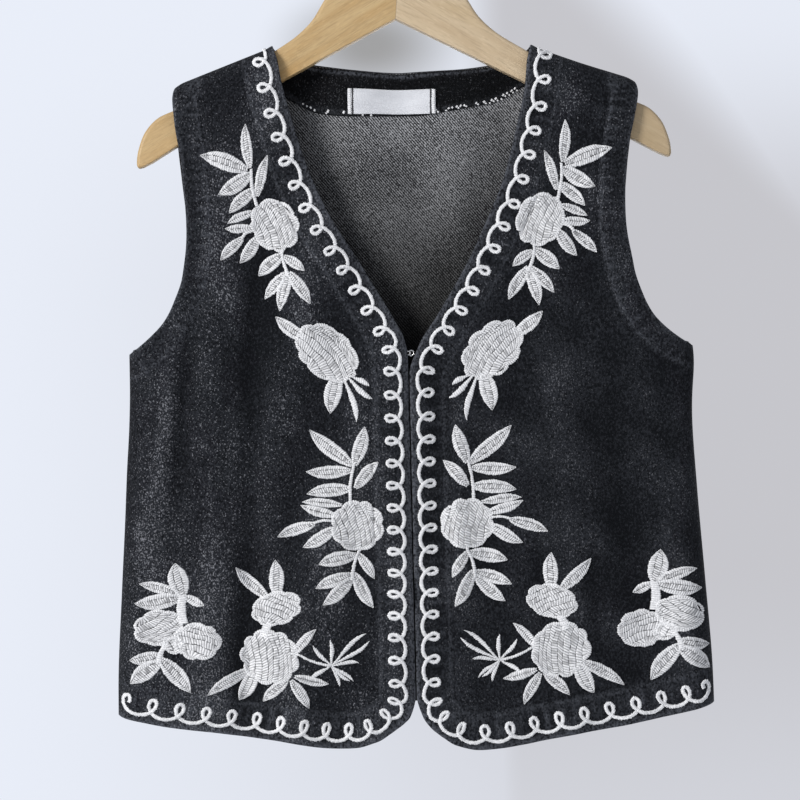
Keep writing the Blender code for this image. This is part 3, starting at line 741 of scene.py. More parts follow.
def panel_face(panel, x, drop, fine=True):
    """Points of a panel's outer face."""
    full = curve(DEPTHS["back" if panel == "back" else "front"], drop)
    full = full - fold_relief(FOLDS[panel], x, drop)
    turned = roll(side_distance(np.abs(x), drop), SIDE_ROLL)
    turned = turned * roll(shoulder_distance(np.abs(x), drop), SHOULDER_ROLL)
    depth = SEAM_HALF + (full - SEAM_HALF) * turned
    if fine:
        relief = ripples(panel, x, drop) + turning_relief(panel, x, drop)[0]
        depth = depth + (relief - fold_relief(CREASES[panel], x, drop)) * seam_fade(x, drop)
    sign = 1.0 if panel == "back" else -1.0
    return np.stack([x + spread(x, drop), sign * depth, NECK_LEVEL - drop + lift(x, drop)], axis=-1)


def cloth_points(panel, x, drop, out):
    """Points of a panel's outer face, moved out along the cloth's normal."""
    x, drop, out = np.broadcast_arrays(np.asarray(x, float), drop, out)
    inward = np.where(x < 0, 0.4, -0.4)
    face = panel_face(panel, x, drop)
    across = (panel_face(panel, x + inward, drop) - face) / inward[..., None]
    down = panel_face(panel, x, drop + 0.4) - face
    normal = unit(np.cross(across, down))
    towards = 1.0 if panel == "back" else -1.0
    normal *= np.where(normal[..., 1:2] * towards < 0, -1.0, 1.0)
    return face + normal * out[..., None]


def row_shares():
    """Heights of the rows from the hem to the shoulder, with a row at the armpit."""
    armpit = (SIDE_END_DROP - ARMPIT_DROP) / (SIDE_END_DROP - CORNER_DROP)
    roll_start = 1.0 - SHOULDER_ROLL / (SIDE_END_DROP - CORNER_DROP)
    turn = np.sin(np.linspace(0, math.pi / 2, ROLL_ROWS + 1))
    low = np.linspace(0, armpit, SIDE_ROWS + 1)
    middle = np.linspace(armpit, roll_start, ARMHOLE_ROWS + 1)
    return np.concatenate([low, middle[1:], lerp(roll_start, 1.0, turn)[1:]])


def column_shares(count, width):
    """Places of the columns from the middle to the side, closer where the side turns."""
    roll_start = 1.0 - SIDE_ROLL / width
    turn = np.sin(np.linspace(0, math.pi / 2, ROLL_COLUMNS + 1))
    return np.concatenate([np.linspace(0, roll_start, count + 1), lerp(roll_start, 1.0, turn)[1:]])


def front_plan(side):
    """Lattice of one front as x and drop, a patch between its four edges."""
    start, end = FRONT_HEM[0][0], FRONT_HEM[-1][0]
    low = FRONT_EDGE[-1][0]
    u = column_shares(FRONT_COLUMNS, end)[None, :]
    v = row_shares()[:, None]
    hem_half = lerp(start, end, u)
    top_half = lerp(NECK_HALF, CORNER_HALF, u)
    inner_drop = low * (1 - v)
    outer_drop = lerp(SIDE_END_DROP, CORNER_DROP, v)
    hem = np.stack([hem_half, curve(FRONT_HEM, hem_half)])
    top = np.stack([top_half, shoulder_drop(top_half)])
    inner = np.stack([inner_half(side, inner_drop), inner_drop])
    outer = np.stack([outer_half(outer_drop), outer_drop])
    corners = lerp(lerp(hem[..., :1], hem[..., -1:], u), lerp(top[..., :1], top[..., -1:], u), v)
    half, drop = lerp(hem, top, v) + lerp(inner, outer, u) - corners
    return (-half if side == "left" else half), drop


def back_plan():
    """Lattice of the back as x and drop. Its top row follows both shoulders and the neck."""
    shares = column_shares(BACK_COLUMNS // 2, SIDE[-1][1])
    top_half = CORNER_HALF * shares
    neck_column = int(np.argmin(np.abs(top_half - NECK_HALF)))
    top_half[neck_column] = NECK_HALF
    top = np.where(top_half < NECK_HALF, curve(BACK_NECK, top_half), shoulder_drop(top_half))
    low = curve(BACK_HEM, SIDE[-1][1] * shares)
    v = row_shares()[:, None]
    drop = lerp(SIDE_END_DROP, CORNER_DROP, v)
    half = lerp(outer_half(drop) * shares, top_half, smooth_step(4 * v - 3))
    drop = drop + (top - CORNER_DROP) * smooth_step(v) + (low - SIDE_END_DROP) * (1 - v)
    return (np.concatenate([-half[:, :0:-1], half], axis=1),
            np.concatenate([drop[:, :0:-1], drop], axis=1))


def grid_quads(rows, columns, start=0):
    """Corners of the cells of a grid whose points are numbered row by row."""
    index = start + np.arange(rows * columns).reshape(rows, columns)
    return np.stack([index[:-1, :-1], index[:-1, 1:], index[1:, 1:], index[1:, :-1]], -1).reshape(-1, 4)


def ring_quads(rows, around, start=0):
    """Like grid_quads, for rings that close on themselves."""
    index = start + np.arange(rows * around).reshape(rows, around)
    ahead = np.roll(index, -1, axis=1)
    return np.stack([index[:-1], ahead[:-1], ahead[1:], index[1:]], -1).reshape(-1, 4)


def linked(name, data):
    """Object of the scene from its data."""
    made = bpy.data.objects.new(name, data)
    bpy.context.scene.collection.objects.link(made)
    return made


def turn_faces_outward(mesh):
    faces = bmesh.new()
    faces.from_mesh(mesh)
    bmesh.ops.recalc_face_normals(faces, faces=faces.faces)
    faces.to_mesh(mesh)
    faces.free()


def new_piece(name, points, quads, materials, material_of=None, attributes=None):
    """Object from points in millimetres and four-cornered faces, riding on the one body."""
    mesh = bpy.data.meshes.new(name)
    mesh.vertices.add(len(points))
    mesh.vertices.foreach_set("co", (np.asarray(points) * MM).astype(np.float32).ravel())
    mesh.loops.add(4 * len(quads))
    mesh.loops.foreach_set("vertex_index", np.asarray(quads, np.int32).ravel())
    mesh.polygons.add(len(quads))
    mesh.polygons.foreach_set("loop_start", np.arange(0, 4 * len(quads), 4, dtype=np.int32))
    mesh.update(calc_edges=True)
    mesh.validate()
    for material in materials:
        mesh.materials.append(material)
    if material_of is not None:
        mesh.polygons.foreach_set("material_index", np.asarray(material_of, np.int32))
    for key, values in (attributes or {}).items():
        attribute = mesh.attributes.new(key, "FLOAT", "POINT")
        attribute.data.foreach_set("value", np.asarray(values, np.float32))
    mesh.shade_smooth()
    piece = linked(name, mesh)
    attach(piece, "root")
    return piece


def border_ring(rows, columns):
    """Border points of a grid, in order, and the neighbour of each one further in."""
    index = np.arange(rows * columns).reshape(rows, columns)
    ring = np.concatenate([index[0, :-1], index[:-1, -1], index[-1, :0:-1], index[:0:-1, 0]])
    inside = np.concatenate([index[1, :-1], index[:-1, -2], index[-2, :0:-1], index[:0:-1, 1]])
    return ring, inside


def make_shell(name, outer, wall, outward_y, bulge, materials, attributes=None, grow=False):
    """Closed thin shell through a grid of points, with a rounded rim. The points are its outer
    face, or with grow its inner face."""
    rows, columns = outer.shape[:2]
    normal = unit(np.cross(np.gradient(outer, axis=1), np.gradient(outer, axis=0)))
    normal *= np.sign(np.sum(normal[..., 1]) * outward_y)
    if grow:
        outer = outer + normal * wall
    inner = outer - normal * wall
    count = rows * columns
    flat_outer, flat_inner = outer.reshape(-1, 3), inner.reshape(-1, 3)
    ring, inside = border_ring(rows, columns)
    away = unit(flat_outer[ring] - flat_outer[inside])
    rim = (flat_outer[ring] + flat_inner[ring]) / 2 + away * (bulge * wall)[:, None]
    points = np.concatenate([flat_outer, flat_inner, rim])
    cells = grid_quads(rows, columns)
    after = np.roll(np.arange(len(ring)), -1)
    rim_index = 2 * count + np.arange(len(ring))
    to_rim = np.stack([ring[after], ring, rim_index, rim_index[after]], -1)
    to_inner = np.stack([rim_index[after], rim_index, ring + count, ring[after] + count], -1)
    quads = np.concatenate([cells, cells[:, ::-1] + count, to_rim, to_inner])
    sample = flat_outer[cells[len(cells) // 2]]
    facing = np.cross(sample[1] - sample[0], sample[3] - sample[0])[1] * outward_y
    if facing < 0:
        quads = quads[:, ::-1]
    material_of = np.zeros(len(quads), int)
    if len(materials) > 1:
        material_of[len(cells):2 * len(cells)] = 1
    values = {}
    for key, point_values in (attributes or {}).items():
        point_values = point_values.ravel()
        values[key] = np.concatenate([point_values, np.zeros(count), point_values[ring]])
    return new_piece(name, points, quads, materials, material_of, values)


def panel_looks(panel, x, drop):
    """How worn each place of a panel is, with a painted highlight along its edges, and its painted light:
    paler on ridges and to the left, darker in troughs and to the right.
    """
    # Painted light and shade: paler on ridges and towards the left, darker in troughs and towards the right
    painted_light = -FOLD_PAINTED_LIGHT * fold_relief(FOLDS[panel], x, drop)
    painted_light = painted_light - CREASE_PAINTED_LIGHT * fold_relief(CREASES[panel], x, drop)
    painted_light = painted_light + RIPPLE_PAINTED_LIGHT * ripples(panel, x, drop) + curve(SIDE_PAINTED_LIGHT, x)
    if panel == "back":
        painted_light = painted_light * BACK_PAINTED_LIGHT
    wear_and_highlight = np.clip(turning_relief(panel, x, drop)[1], 0.0, 1.0)
    return {"wear_and_highlight": wear_and_highlight, "painted_light": np.clip(painted_light, -1.0, 1.0) * seam_fade(x, drop)}


def armhole_bulge(drop):
    """How round the side edge of a panel is: only where it is free, above the armpit."""
    return RIM_BULGE * between(drop, ARMPIT_DROP - 6, ARMPIT_DROP - 26)


def make_front(side, cloth, inside):
    x, drop = front_plan(side)
    rows, columns = x.shape
    bulge = np.concatenate([np.full(columns - 1, RIM_BULGE), np.zeros(rows - 1),
                            np.zeros(columns - 1), np.full(rows - 1, RIM_BULGE)])
    outer_drops = drop[:-1, -1]
    bulge[columns - 1:columns + rows - 2] = armhole_bulge(outer_drops)
    piece = make_shell("cloth_front_" + side, panel_face(side, x, drop), WALL, -1.0, bulge,
                       [cloth, inside], panel_looks(side, x, drop))
    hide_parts("front_" + side)
    return piece


def make_back(cloth, inside):
    x, drop = back_plan()
    columns = x.shape[1]
    armhole = armhole_bulge(drop[:, -1])
    neck = RIM_BULGE * (np.abs(x[-1, :0:-1]) < NECK_HALF - 2)
    bulge = np.concatenate([np.full(columns - 1, RIM_BULGE), armhole[:-1], neck, armhole[:0:-1]])
    piece = make_shell("cloth_back", panel_face("back", x, drop), WALL, 1.0, bulge,
                       [cloth, inside], panel_looks("back", x, drop))
    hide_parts("back")
    return piece


def facing_low(x):
    """Drop of the lower edge of the facing, which rises further on the right."""
    return curve(FACING_LOW, np.abs(x)) - FACING_RISE * smooth_step((x - 8) / 40)


def facing_place(u, v):
    """Place on the neck facing as x and drop, at shares across, from -1 to 1, and down."""
    top = FACING_TOP[-1][0] * np.abs(u)
    low = FACING_LOW[-1][0] * np.abs(u)
    half = lerp(top, low, v)
    return np.copysign(half, u), lerp(curve(FACING_TOP, top), facing_low(np.copysign(low, u)), v)


def make_facing(cloth):
    """Band of the outer cloth inside the back neck."""
    across, down = FACING_CELLS
    u, v = np.meshgrid(np.linspace(-1, 1, across + 1), np.linspace(0, 1, down + 1))
    x, drop = facing_place(u, v)
    face = cloth_points("back", x, drop, -WALL - SEAM_GAP)
    below = v * FACING_HEIGHT
    wear_and_highlight = 0.8 * bell(below - 2.0, 1.2) + 0.25 * bell(below - 26.0, 2.0)
    bulge = np.full(2 * (across + down), RIM_BULGE)
    piece = make_shell("neck_facing_cloth", face, FACING_WALL, -1.0, bulge, [cloth],
                       {"wear_and_highlight": wear_and_highlight}, grow=True)
    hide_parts("back_neck_facing")
    return piece


def make_label(satin):
    """Blank woven label with turned ends."""
    across, down = LABEL_CELLS
    u, v = np.meshgrid(np.linspace(-0.5, 0.5, across + 1), np.linspace(-0.5, 0.5, down + 1))
    x = LABEL_CENTRE[0] + LABEL_SIZE[0] * u
    drop = LABEL_CENTRE[1] + LABEL_SIZE[1] * v
    puff = LABEL_PUFF * (1 - (2 * v) ** 2) * bell(np.abs(u) - 0.36, 0.18)
    face = cloth_points("back", x, drop, -WALL - FACING_WALL - 2 * SEAM_GAP - puff)
    bulge = np.full(2 * (across + down), RIM_BULGE)
    piece = make_shell("blank_label", face, LABEL_WALL, -1.0, bulge, [satin], grow=True)
    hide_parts("neck_label")
    return piece


class Stitches:
    """Satin strips gathered into one mesh. Each strip is a closed ribbed ribbon."""

    def __init__(self, seed):
        self.chance = np.random.default_rng(seed)
        self.plans = []
        self.heights = []
        self.shades = []
        self.quads = []
        self.count = 0

    def strip(self, edge_a, edge_b, base, crown, slant=STITCH_SLANT, pitch=STITCH_PITCH, lift=None,
              dashes=(0.0, 0.0)):
        """Ribbon of stitches from one plan line to another, with dark dashes at either line."""
        places = distances((edge_a + edge_b) / 2)
        length = places[-1]
        stitches = max(2, round(length / pitch))
        rows = STITCH_ROWS * stitches + 1
        at = np.linspace(0, length, rows)
        numbers = np.minimum(np.arange(rows) // STITCH_ROWS, stitches - 1)
        in_groove = np.arange(rows) % STITCH_ROWS == 0
        shift = slant / 2
        a, b = (points_at(edge, places, np.clip(at + move, 0, length))
                for edge, move in ((edge_a, -shift), (edge_b, shift)))
        width = np.linalg.norm(b - a, axis=-1)
        direction = (b - a) / np.maximum(width, 0.05)[:, None]
        reach = np.minimum(STITCH_JITTER, 0.2 * width)
        shares = np.array([share for share, _ in STITCH_PROFILE])
        levels = np.array([level for _, level in STITCH_PROFILE])
        level_rows = np.tile(levels, (rows, 1))
        # Painted shade in the grooves between stitches
        shade = np.outer(in_groove * GROOVE_SHADE, np.minimum(levels * 1.5, 1.0))
        for ends, sign, dash, profile in ((a, -1.0, dashes[0], DASH_PROFILE),
                                          (b, 1.0, dashes[1], DASH_PROFILE[::-1])):
            wander = self.chance.uniform(*STITCH_WANDER, stitches)[numbers]
            wander = np.where(in_groove, GROOVE_WANDER, wander)
            ends += sign * direction * (wander * reach)[:, None]
            dark = (self.chance.uniform(0, 1, stitches) < DASH_SHARE)[numbers] * DASH_DEPTH
            comb = self.chance.uniform(*COMB_DEPTHS, rows) * in_groove
            shade = shade + dash * np.outer(np.maximum(dark, comb), profile)
            if dash > 0:
                side = (0, 1) if sign < 0 else (-1, -2)
                level_rows[:, side] = np.maximum(level_rows[:, side], DASH_LEVELS)
        height = crown * np.minimum(1.0, width / STITCH_FULL_WIDTH)
        height = height * self.chance.uniform(*STITCH_HEIGHTS, stitches)[numbers]
        height = np.where(in_groove, GROOVE * height, height)
        raised = base if lift is None else base + np.interp(at, places, lift)
        plan = a[:, None, :] + (b - a)[:, None, :] * shares[None, :, None]
        self.plans.append(plan.reshape(-1, 2))
        self.heights.append((height[:, None] * level_rows + np.reshape(raised, (-1, 1))).ravel())
        self.shades.append(np.clip(shade, 0.0, 1.0).ravel())
        around = len(shares)
        first = self.count + np.arange(around)
        caps = [row[[k, k + 1, -2 - k, -1 - k]] for row in (first, first[::-1] + (rows - 1) * around)
                for k in range(around // 2 - 1)]
        self.quads.append(np.concatenate([ring_quads(rows, around, self.count), np.array(caps)]))
        self.count += rows * around

    def piece(self, name, panel, sign, place, material, under=None):
        """Lay the strips on a panel, or under it on its inner side. A place is the outward
        distance and drop of their origin."""
        plan = np.concatenate(self.plans)
        out = np.concatenate(self.heights)
        x = sign * (place[0] + plan[:, 0])
        points = cloth_points(panel, x, place[1] - plan[:, 1], out if under is None else -under - out)
        piece = new_piece(name, points, np.concatenate(self.quads), [material],
                          attributes={"shade": np.concatenate(self.shades)})
        turn_faces_outward(piece.data)
        return piece


def turned(angle):
    """Unit vectors along an angle, in degrees from outward towards up, and to its left."""
    along = np.array([math.cos(math.radians(angle)), math.sin(math.radians(angle))])
    return along, left_of(along)


def stitch_leaf(stitches, leaf, number):
    """Pointed leaf: two edge bands and the rib between them, two halves if it is slim, or one."""
    share = np.linspace(0, 1, 40)
    along, aside = turned(leaf.angle)
    bend = LEAF_BEND if leaf.width >= SLIM_LEAF else BLADE_BEND
    bend = bend * leaf.length * (1 if number % 2 else -1)
    middle = np.array([leaf.out, leaf.up]) + np.outer(share * leaf.length, along)
    middle = middle + np.outer(bend * 4 * share * (1 - share) - bend, aside) * share[:, None]
    form = LEAF_FORM if leaf.width >= SLIM_LEAF else BLADE_FORM
    half = curve(form, share) * leaf.width / 2
    _, splits, dashes = next(bands for bands in LEAF_BANDS if leaf.width >= bands[0])
    edges = [middle + np.outer(split * half, aside) for split in splits]
    for k, (low, high) in enumerate(zip(edges, edges[1:])):
        outermost = k in (0, len(splits) - 2)
        slant = STITCH_SLANT * (1 if k < len(splits) / 2 - 0.5 else -1)
        crown = LEAF_CROWN * (1.0 if outermost else RIB_SHARE)
        stitches.strip(low, high, 0.05, crown, slant, dashes=dashes[k])


def stitch_stem(stitches, stem):
    share = np.linspace(0, 1, 16)
    start = np.array([stem.out, stem.up], float)
    end = np.array([stem.end_out, stem.end_up], float)
    aside = left_of(unit(end - start))
    middle = start + np.outer(share, end - start) + np.outer(1.2 * np.sin(math.pi * share), aside)
    half = stem.width / 2 * (0.85 + 0.2 * share)
    stitches.strip(middle - np.outer(half, aside), middle + np.outer(half, aside), 0.35, 0.8, 0.6)


def flower_outline(flower, chance):
    """Round scalloped outline about the flower's middle."""
    turn = np.linspace(0, 2 * math.pi, 241)
    starts = np.sort((np.arange(flower.petals) + chance.uniform(-0.22, 0.22, flower.petals)) / flower.petals)
    starts = np.concatenate([starts, starts[:1] + 1.0])
    at = starts[0] + (turn / (2 * math.pi)) * 0.999999
    petal = np.searchsorted(starts, at, side="right") - 1
    within = (at - starts[petal]) / (starts[petal + 1] - starts[petal])
    depth = SCALLOP * chance.uniform(0.45, 1.0, flower.petals)[petal]
    reach = 1.03 - depth * (1 - np.sin(math.pi * within) ** 0.62)
    turn = at * 2 * math.pi
    along, aside = turned(flower.angle)
    return (np.outer(reach * np.cos(turn) * flower.length / 2, along)
            + np.outer(reach * np.sin(turn) * flower.width / 2, aside))


def chord(outline, at):
    """Lowest and highest first coordinate of an outline where its second has a value."""
    after = np.roll(outline, -1, axis=0)
    crosses = (outline[:, 1] - at) * (after[:, 1] - at) <= 0
    low, high = outline[crosses], after[crosses]
    rise = np.where(np.abs(high[:, 1] - low[:, 1]) < 1e-9, 1e-9, high[:, 1] - low[:, 1])
    found = lerp(low[:, 0], high[:, 0], np.clip((at - low[:, 1]) / rise, 0, 1))
    return found.min(), found.max()


def stitch_flower(stitches, flower):
    """Scalloped flower with a satin rim, filled with bowed rows of slanted stitches."""
    rim = flower_outline(flower, stitches.chance)
    centre = np.array([flower.out, flower.up])
    inset = rim * (1.0 - FLOWER_RIM / np.linalg.norm(rim, axis=1))[:, None]
    along, aside = turned(flower.grain)
    outline = (rim + inset) / 2 @ np.stack([along, aside], axis=1)
    low, high = outline[:, 1].min() * 0.97, outline[:, 1].max() * 0.97
    count = max(3, round((high - low) / FLOWER_COLUMN))
    share = np.linspace(0, 1, 48)
    edges = []
    for k, split in enumerate(np.linspace(low, high, count + 1)):
        start, end = chord(outline, split)
        p = lerp(start, end, share)
        wave = 0.30 * np.sin(p / 3.4 + k * 1.3) + 0.2 * np.sin(p / 1.9 + k)
        ends = p * (p - start - end) + start * end
        q = split - FLOWER_BOW * ends * np.sin(math.pi * k / count) + wave * np.sin(math.pi * share) ** 0.5
        edges.append(centre + np.outer(p, along) + np.outer(q, aside))
    for k, (edge, other) in enumerate(zip(edges, edges[1:])):
        slant = 1.5 if k % 2 else 1.9
        stitches.strip(edge, other, FLOWER_BASE, FLOWER_CROWN, slant, FLOWER_PITCH, dashes=(0.7, 0.7))
    stitches.strip(centre + rim, centre + inset, FLOWER_BASE, FLOWER_CROWN, 0.4, dashes=(0.0, 0.5))


def make_sprig(name, side, number, material):
    stitches = Stitches(number)
    for k, leaf in enumerate(SPRIG_LEAVES[name]):
        stitch_leaf(stitches, leaf, k)
    for stem in SPRIG_STEMS[name]:
        stitch_stem(stitches, stem)
    for flower in SPRIG_FLOWERS[name]:
        stitch_flower(stitches, flower)
    sign = -1 if side == "left" else 1
    place = np.add(SPRIG_PLACES[name], SPRIG_SHIFTS.get((name, side), (0.0, 0.0)))
    piece = stitches.piece("embroidery_" + name + "_" + side, side, sign, place, material)
    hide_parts("sprig_" + name + "_" + side)
    return piece


def border_centre(side):
    """Looped centre line of the border as outward distance and height, with its lift."""
    line = EDGES[side]["rim"][0] * np.array([-1.0 if side == "left" else 1.0, 1.0])
    places = distances(line)
    fine = np.arange(BORDER_START, places[-1] - BORDER_END, BORDER_STEP)
    plan = BORDER_PLANS[side]
    loops, middle, reach = (curve([(row[0], row[k]) for row in plan], fine) for k in (1, 2, 3))
    phase = 2 * math.pi * loops
    swing = BORDER_SWING / np.gradient(phase, fine)
    looped = smooth_step((phase + math.pi) / 1.2)
    inward = middle + reach * lerp(-0.6, np.cos(phase), looped)
    along = fine - looped * swing * np.sin(phase) - BORDER_SKEW * (inward - middle)
    along = np.clip(along, 0.2, places[-1] - 0.5)
    here, fore, aft = (points_at(line, places, np.clip(along + move, 0, places[-1]))
                       for move in (0.0, BORDER_SIGHT, -BORDER_SIGHT))
    centre = here - left_of(unit(fore - aft)) * inward[:, None]
    crossing = np.mod(phase, 2 * math.pi) - 2.0
    return np.stack([centre[:, 0], -centre[:, 1]], axis=-1), BORDER_PASS * bell(crossing, 0.55)


def make_border(side, number, material):
    """Looped white border along the neckline, front edge and hem of one front."""
    centre, lift = border_centre(side)
    aside = left_of(unit(np.gradient(centre, axis=0))) * BORDER_WIDTH / 2
    stitches = Stitches(number)
    stitches.strip(centre - aside, centre + aside, 0.05, BORDER_CROWN, 0.5, BORDER_STITCH, lift)
    sign = -1 if side == "left" else 1
    return stitches.piece("border_" + side, side, sign, (0.0, 0.0), material)


def bar(start, end, width):
    """Both edge lines of a straight bar between two places."""
    start, end = np.array(start, float), np.array(end, float)
    aside = left_of(unit(end - start)) * width / 2
    middle = lerp(start, end, np.linspace(0, 1, 8)[:, None])
    return middle - aside, middle + aside


def make_overlock(number, material):
    """Loops of white thread over the raw lower edge of the neck facing."""
    stitches = Stitches(number)
    for x in np.arange(-OVERLOCK_ENDS, OVERLOCK_ENDS, OVERLOCK_PITCH):
        rightward = (x - OVERLOCK_TURN) / (OVERLOCK_ENDS - OVERLOCK_TURN)
        density = lerp(*OVERLOCK_RIGHT, rightward) if rightward > 0 else OVERLOCK_LEFT
        level = -float(facing_low(x)) + 0.8
        lean = stitches.chance.uniform(0.5, 1.3)
        top = OVERLOCK_REACH * stitches.chance.uniform(0.5, 1.2)
        low = -OVERLOCK_REACH * stitches.chance.uniform(0.1, 0.6)
        for start, end in (((x, level + 0.3), (x + lean, level + top)),
                           ((x + 1.3, level + low), (x + 2.0, level + low + 0.8))):
            if stitches.chance.uniform() <= density:
                stitches.strip(*bar(start, end, OVERLOCK_WIDTH), 0.05, 0.45, 0.0, 1.2)
    return stitches.piece("facing_overlock", "back", 1, (0.0, 0.0), material, WALL + FACING_WALL + SEAM_GAP)


def make_label_bars(number, white, dark):
    """White bars of stitches over both ends of the label, each beside a thin dark seam."""
    pieces = []
    under = WALL + FACING_WALL + LABEL_WALL + 2 * SEAM_GAP
    for name, half, width, material in (("label_bars", BAR_HALF, BAR_WIDTH, white),
                                        ("label_seams", GAP_HALF, GAP_WIDTH, dark)):
        stitches = Stitches(number)
        for sign in (-1, 1):
            x = LABEL_CENTRE[0] + sign * half
            reach = LABEL_SIZE[1] / 2 + 0.2
            edges = bar((x, -LABEL_CENTRE[1] - reach), (x, -LABEL_CENTRE[1] + reach), width)
            stitches.strip(*edges, 0.15, 0.5, 0.2, 1.3)
        pieces.append(stitches.piece(name, "back", 1, (0.0, 0.0), material, under))
    return pieces


def spline(knots, steps):
    """Points of a smooth curve through knots."""
    knots = np.array(knots, float)
    padded = np.concatenate([knots[:1], knots, knots[-1:]])
    points = []
    for k in range(len(knots) - 1):
        a, b, c, d = padded[k:k + 4]
        for share in np.arange(steps) / steps:
            points.append(0.5 * (2 * b + (c - a) * share + (2 * a - 5 * b + 4 * c - d) * share ** 2
                                 + (3 * b - a - 3 * c + d) * share ** 3))
    return np.array(points + [knots[-1]])


def hanger_shift(half, drop):
    """How far the lower middle of the hanger lies to the left of its hook."""
    return HANGER_SHIFT * smooth_step((drop + 58) / 30) * smooth_step((140 - half) / 50)


def make_arm(side, material):
    """One arm of the hanger, with a wide arris along its top and a crisp lower edge."""
    top = spline(HANGER_TOP, 6)
    tip = spline(HANGER_TIP, 8)
    low = np.array(HANGER_LOW, float)
    outline = np.concatenate([top, tip, low])
    outline[[0, -1], 0] = HANGER_JOINT / 2
    arris = np.concatenate([np.full(len(top), HANGER_ARRIS), np.full(len(tip), HANGER_ARRIS),
                            np.full(len(low), HANGER_SMALL_ARRIS)])
    # It is narrow at the joint, and past the tip it narrows to the crisp lower edge
    arris[:2] = (0.15, 1.2)
    arris[len(top) + len(tip) - 6:len(top) + len(tip)] = np.linspace(2.0, HANGER_SMALL_ARRIS, 6)
    arris[-1] = 0.15
    before, after = outline - np.roll(outline, 1, axis=0), np.roll(outline, -1, axis=0) - outline
    normals = [left_of(unit(step)) for step in (before, after)]
    inward = normals[0] + normals[1]
    inward /= np.maximum(np.sum(inward * normals[0], axis=1), 0.35)[:, None]
    rings = []
    half = HANGER_THICKNESS / 2
    for turn in np.linspace(math.pi / 2, 0, ARRIS_STEPS + 1):
        inset = outline + inward * (arris * (1 - math.cos(turn)))[:, None]
        depth = half - arris * (1 - math.sin(turn))
        rings.append((inset, -depth))
    rings += [(inset, -depth) for inset, depth in reversed(rings)]
    sign = -1.0 if side == "left" else 1.0
    points = np.concatenate([np.stack([sign * plan[:, 0] + hanger_shift(plan[:, 0], plan[:, 1]), depth,
                                       NECK_LEVEL - plan[:, 1]], -1) for plan, depth in rings])
    count = len(outline)
    faces = ring_quads(len(rings), count).tolist()
    ends = [list(range(count)), list(range((len(rings) - 1) * count, len(rings) * count))[::-1]]
    mesh = bpy.data.meshes.new("arm_" + side)
    mesh.from_pydata((points * MM).tolist(), [], faces + ends)
    turn_faces_outward(mesh)
    mesh.materials.append(material)
    mesh.shade_smooth()
    for face in mesh.polygons:
        face.use_smooth = len(face.vertices) == 4
    mesh.set_sharp_from_angle(angle=math.radians(35))
    piece = linked("arm_" + side, mesh)
    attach(piece, "root")
    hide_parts("hanger_arm_" + side)
    return piece


class Nodes:
    """Tree of nodes. A value given to a node is a number, a colour or another node's output."""

    def __init__(self, tree):
        self.tree = tree

    def set(self, node, values):
        for key, value in values.items():
            socket = node.inputs[key]
            if isinstance(value, bpy.types.NodeSocket):
                self.tree.links.new(value, socket)
            elif socket.type == "RGBA":
                socket.default_value = (*value, 1.0)
            else:
                socket.default_value = value

    def node(self, kind, values=None, **settings):
        made = self.tree.nodes.new("ShaderNode" + kind)
        for key, value in settings.items():
            setattr(made, key, value)
        self.set(made, values or {})
        return made

    def math(self, operation, first, second, clamp=False):
        return self.node("Math", {0: first, 1: second}, operation=operation, use_clamp=clamp).outputs[0]

    def range(self, value, low, high, to_low=0.0, to_high=1.0, form="LINEAR"):
        return self.node("MapRange", {
            "Value": value, "From Min": low, "From Max": high, "To Min": to_low, "To Max": to_high,
        }, interpolation_type=form).outputs["Result"]

    def mix(self, share, first, second):
        return self.node("Mix", {0: share, 6: first, 7: second}, data_type="RGBA").outputs[2]


class Shader(Nodes):
    """Node material on a principled surface."""

    def __init__(self, name, roughness, metallic=0.0):
        self.material = bpy.data.materials.new(name)
        self.material.use_nodes = True
        super().__init__(self.material.node_tree)
        self.surface = self.tree.nodes["Principled BSDF"]
        self.set(self.surface, {"Roughness": roughness, "Metallic": metallic})
        self.place = self.node("TexCoord").outputs["Object"]

    def axis(self, name):
        return self.node("SeparateXYZ", {0: self.place}).outputs[name]

    def noise(self, scale, detail=2.0, stretch=(1.0, 1.0, 1.0), tilt=0.0):
        """Noise with a number of grains to the metre, shrunk along each axis by a stretch."""
        turned_place = self.node("Mapping", {
            "Vector": self.place,
            "Rotation": (0.0, math.radians(tilt), 0.0),
        }).outputs["Vector"]
        place = self.node("Mapping", {
            "Vector": turned_place,
            "Scale": tuple(scale / part for part in stretch),
        }).outputs["Vector"]
        return self.node("TexNoise", {"Vector": place, "Scale": 1.0, "Detail": detail}).outputs["Fac"]

    def sine(self, axis, pitch):
        """Wave from -1 to 1 along a direction, with a pitch in metres."""
        factors = tuple(2 * math.pi / pitch * part for part in axis)
        across = self.node("VectorMath", {0: self.place, 1: factors}, operation="DOT_PRODUCT")
        return self.math("SINE", across.outputs["Value"], 0.0)

    def attribute(self, name):
        return self.node("Attribute", attribute_name=name).outputs["Fac"]

    def finish(self, colour, height=None, strength=0.5, depth=0.0003):
        self.set(self.surface, {"Base Color": colour})
        if height is not None:
            bump = self.node("Bump", {"Height": height, "Strength": strength, "Distance": depth})
            self.set(self.surface, {"Normal": bump.outputs["Normal"]})
        return self.material


def scaled(colour, factor):
    return tuple(factor * part for part in colour)


